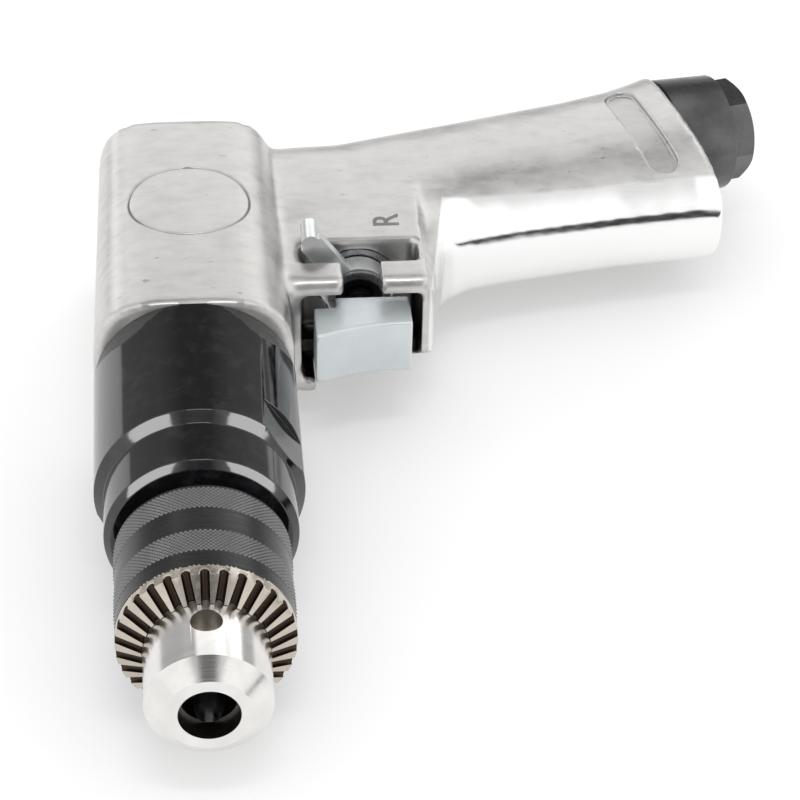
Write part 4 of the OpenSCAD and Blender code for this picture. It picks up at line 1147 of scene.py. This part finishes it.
    def mirrored_room(self, tree, stage):
        """Room in mirror surfaces: white at both sides, paler on top and low behind, and dark elsewhere."""
        place = node(tree, "ShaderNodeTexCoord", -700, -200)
        x, y, z = parts(tree, place.outputs["Generated"], -500, -200)
        wide = sums(tree, "ABSOLUTE", x, 0.0, -400, -200)
        aside = spread(tree, wide, 0.0, 1.0, -250, -200, *self.side_x)
        ahead = spread(tree, y, 1.0, 0.0, -250, -400, *self.side_y)
        beside = sums(tree, "MULTIPLY", aside, ahead, -100, -300)
        sides = spread(tree, beside, stage.room_dark, stage.room_light, 0, -300, 0.0, 1.0)
        above = spread(tree, z, 0.0, stage.room_top, -250, -600, *self.top_z)
        behind = spread(tree, y, 0.0, stage.room_back, -250, -800, *self.back_y)
        low = spread(tree, z, 1.0, 0.0, -250, -950, *self.back_z)
        horizon = sums(tree, "MULTIPLY", behind, low, 0, -850)
        brighter = sums(tree, "MAXIMUM", sides, above, 150, -400)
        return sums(tree, "MAXIMUM", brighter, horizon, 250, -500)

    def world(self, stage):
        """Even light of the room, white to the camera and graded in mirror surfaces."""
        world = bpy.data.worlds.new("room")
        self.scene.world = world
        world.use_nodes = True
        tree = world.node_tree
        tree.nodes.clear()
        output = node(tree, "ShaderNodeOutputWorld", 600, 0)
        lit = node(tree, "ShaderNodeBackground", 200, 0, Color=(1, 1, 1, 1))
        path = node(tree, "ShaderNodeLightPath", -500, 200)
        mirror, glass = path.outputs["Is Glossy Ray"], path.outputs["Is Transmission Ray"]
        glossy = sums(tree, "MAXIMUM", mirror, glass, -300, 100)
        level = blended(tree, glossy, stage.world, self.mirrored_room(tree, stage), -100, 0)
        seen = blended(tree, path.outputs["Is Camera Ray"], level, 1.0, 50, 0)
        tree.links.new(seen, lit.inputs["Strength"])
        tree.links.new(lit.outputs[0], output.inputs["Surface"])

    def lamp(self, name, power, size, place, target, lit):
        """Soft light that faces a point and lights all pieces or only some."""
        bpy.ops.object.select_all(action="DESELECT")
        bpy.ops.object.light_add(type="AREA", location=place)
        lamp = bpy.context.object
        lamp.name = lamp.data.name = name
        lamp.data.energy = power
        lamp.data.shape = "RECTANGLE"
        lamp.data.size, lamp.data.size_y = size
        lamp.rotation_euler = (Vector(target) - Vector(place)).to_track_quat("-Z", "Y").to_euler()
        if lit:
            group = bpy.data.collections.new(name + "_lights")
            for piece in lit:
                group.objects.link(bpy.data.objects[piece])
            lamp.light_linking.receiver_collection = group

    def camera(self, stage):
        """Camera at the photograph's viewing angle."""
        a, e, r = stage.azimuth, stage.elevation, stage.roll
        back = Vector((math.sin(a) * math.cos(e), -math.cos(a) * math.cos(e), math.sin(e)))
        right = Vector((0, 0, 1)).cross(back).normalized()
        up = back.cross(right)
        tilted = right * math.cos(r) + up * math.sin(r)
        upright = up * math.cos(r) - right * math.sin(r)
        bpy.ops.object.camera_add()
        camera = bpy.context.object
        camera.name = "photo_camera"
        camera.data.sensor_width = self.sensor
        camera.data.sensor_fit = "HORIZONTAL"
        camera.data.lens = stage.lens
        camera.data.clip_start = self.clip_start
        place = Matrix((tilted, upright, back)).transposed().to_4x4()
        place.translation = Vector(stage.target) + back * stage.distance
        camera.matrix_world = place
        self.scene.camera = camera

    def execute(self, context):
        stage = context.scene.drill_stage
        self.floor(stage)
        self.world(stage)
        for name, setting, *rest in self.lamps:
            self.lamp(name, getattr(stage, setting), *rest)
        self.camera(stage)
        self.scene.view_settings.view_transform = "Standard"
        return {"FINISHED"}


PIECES = (
    AIRDRILL_OT_finishes, AIRDRILL_OT_housing, AIRDRILL_OT_reverse_mark, AIRDRILL_OT_gear_case,
    AIRDRILL_OT_chuck_body, AIRDRILL_OT_chuck_sleeve, AIRDRILL_OT_sleeve_knurl,
    AIRDRILL_OT_trigger_group, AIRDRILL_OT_throttle_spring, AIRDRILL_OT_inlet, AIRDRILL_OT_stage,
)


class AIRDRILL_PT_panel(bpy.types.Panel):
    """Lists the drill's pieces and their settings"""

    bl_idname = "AIRDRILL_PT_panel"
    bl_label = "Air drill"
    bl_space_type = "VIEW_3D"
    bl_region_type = "UI"
    bl_category = "Air drill"

    def draw(self, context):
        for piece in PIECES:
            self.layout.operator(piece.bl_idname)
        for name, kind in SETTINGS.items():
            box = self.layout.box()
            for key in kind.__annotations__:
                box.prop(getattr(context.scene, name), key)


SETTINGS = {
    "drill_finish": FinishSettings,
    "drill_casting": CastingSettings,
    "drill_knurl": KnurlSettings,
    "drill_edges": EdgeSettings,
    "drill_stage": StageSettings,
}
CLASSES = (*SETTINGS.values(), *PIECES, AIRDRILL_PT_panel)


def register():
    """Registers the classes and hangs their settings on the scene."""
    for kind in CLASSES:
        bpy.utils.register_class(kind)
    for name, kind in SETTINGS.items():
        setattr(bpy.types.Scene, name, bpy.props.PointerProperty(type=kind))


def unregister():
    """Removes the settings and the classes."""
    for name in SETTINGS:
        delattr(bpy.types.Scene, name)
    for kind in reversed(CLASSES):
        bpy.utils.unregister_class(kind)


def main():
    """Builds the dressed drill and its stage."""
    register()
    for piece in PIECES:
        group, name = piece.bl_idname.split(".")
        getattr(getattr(bpy.ops, group), name)()


if __name__ == "__main__":
    main()
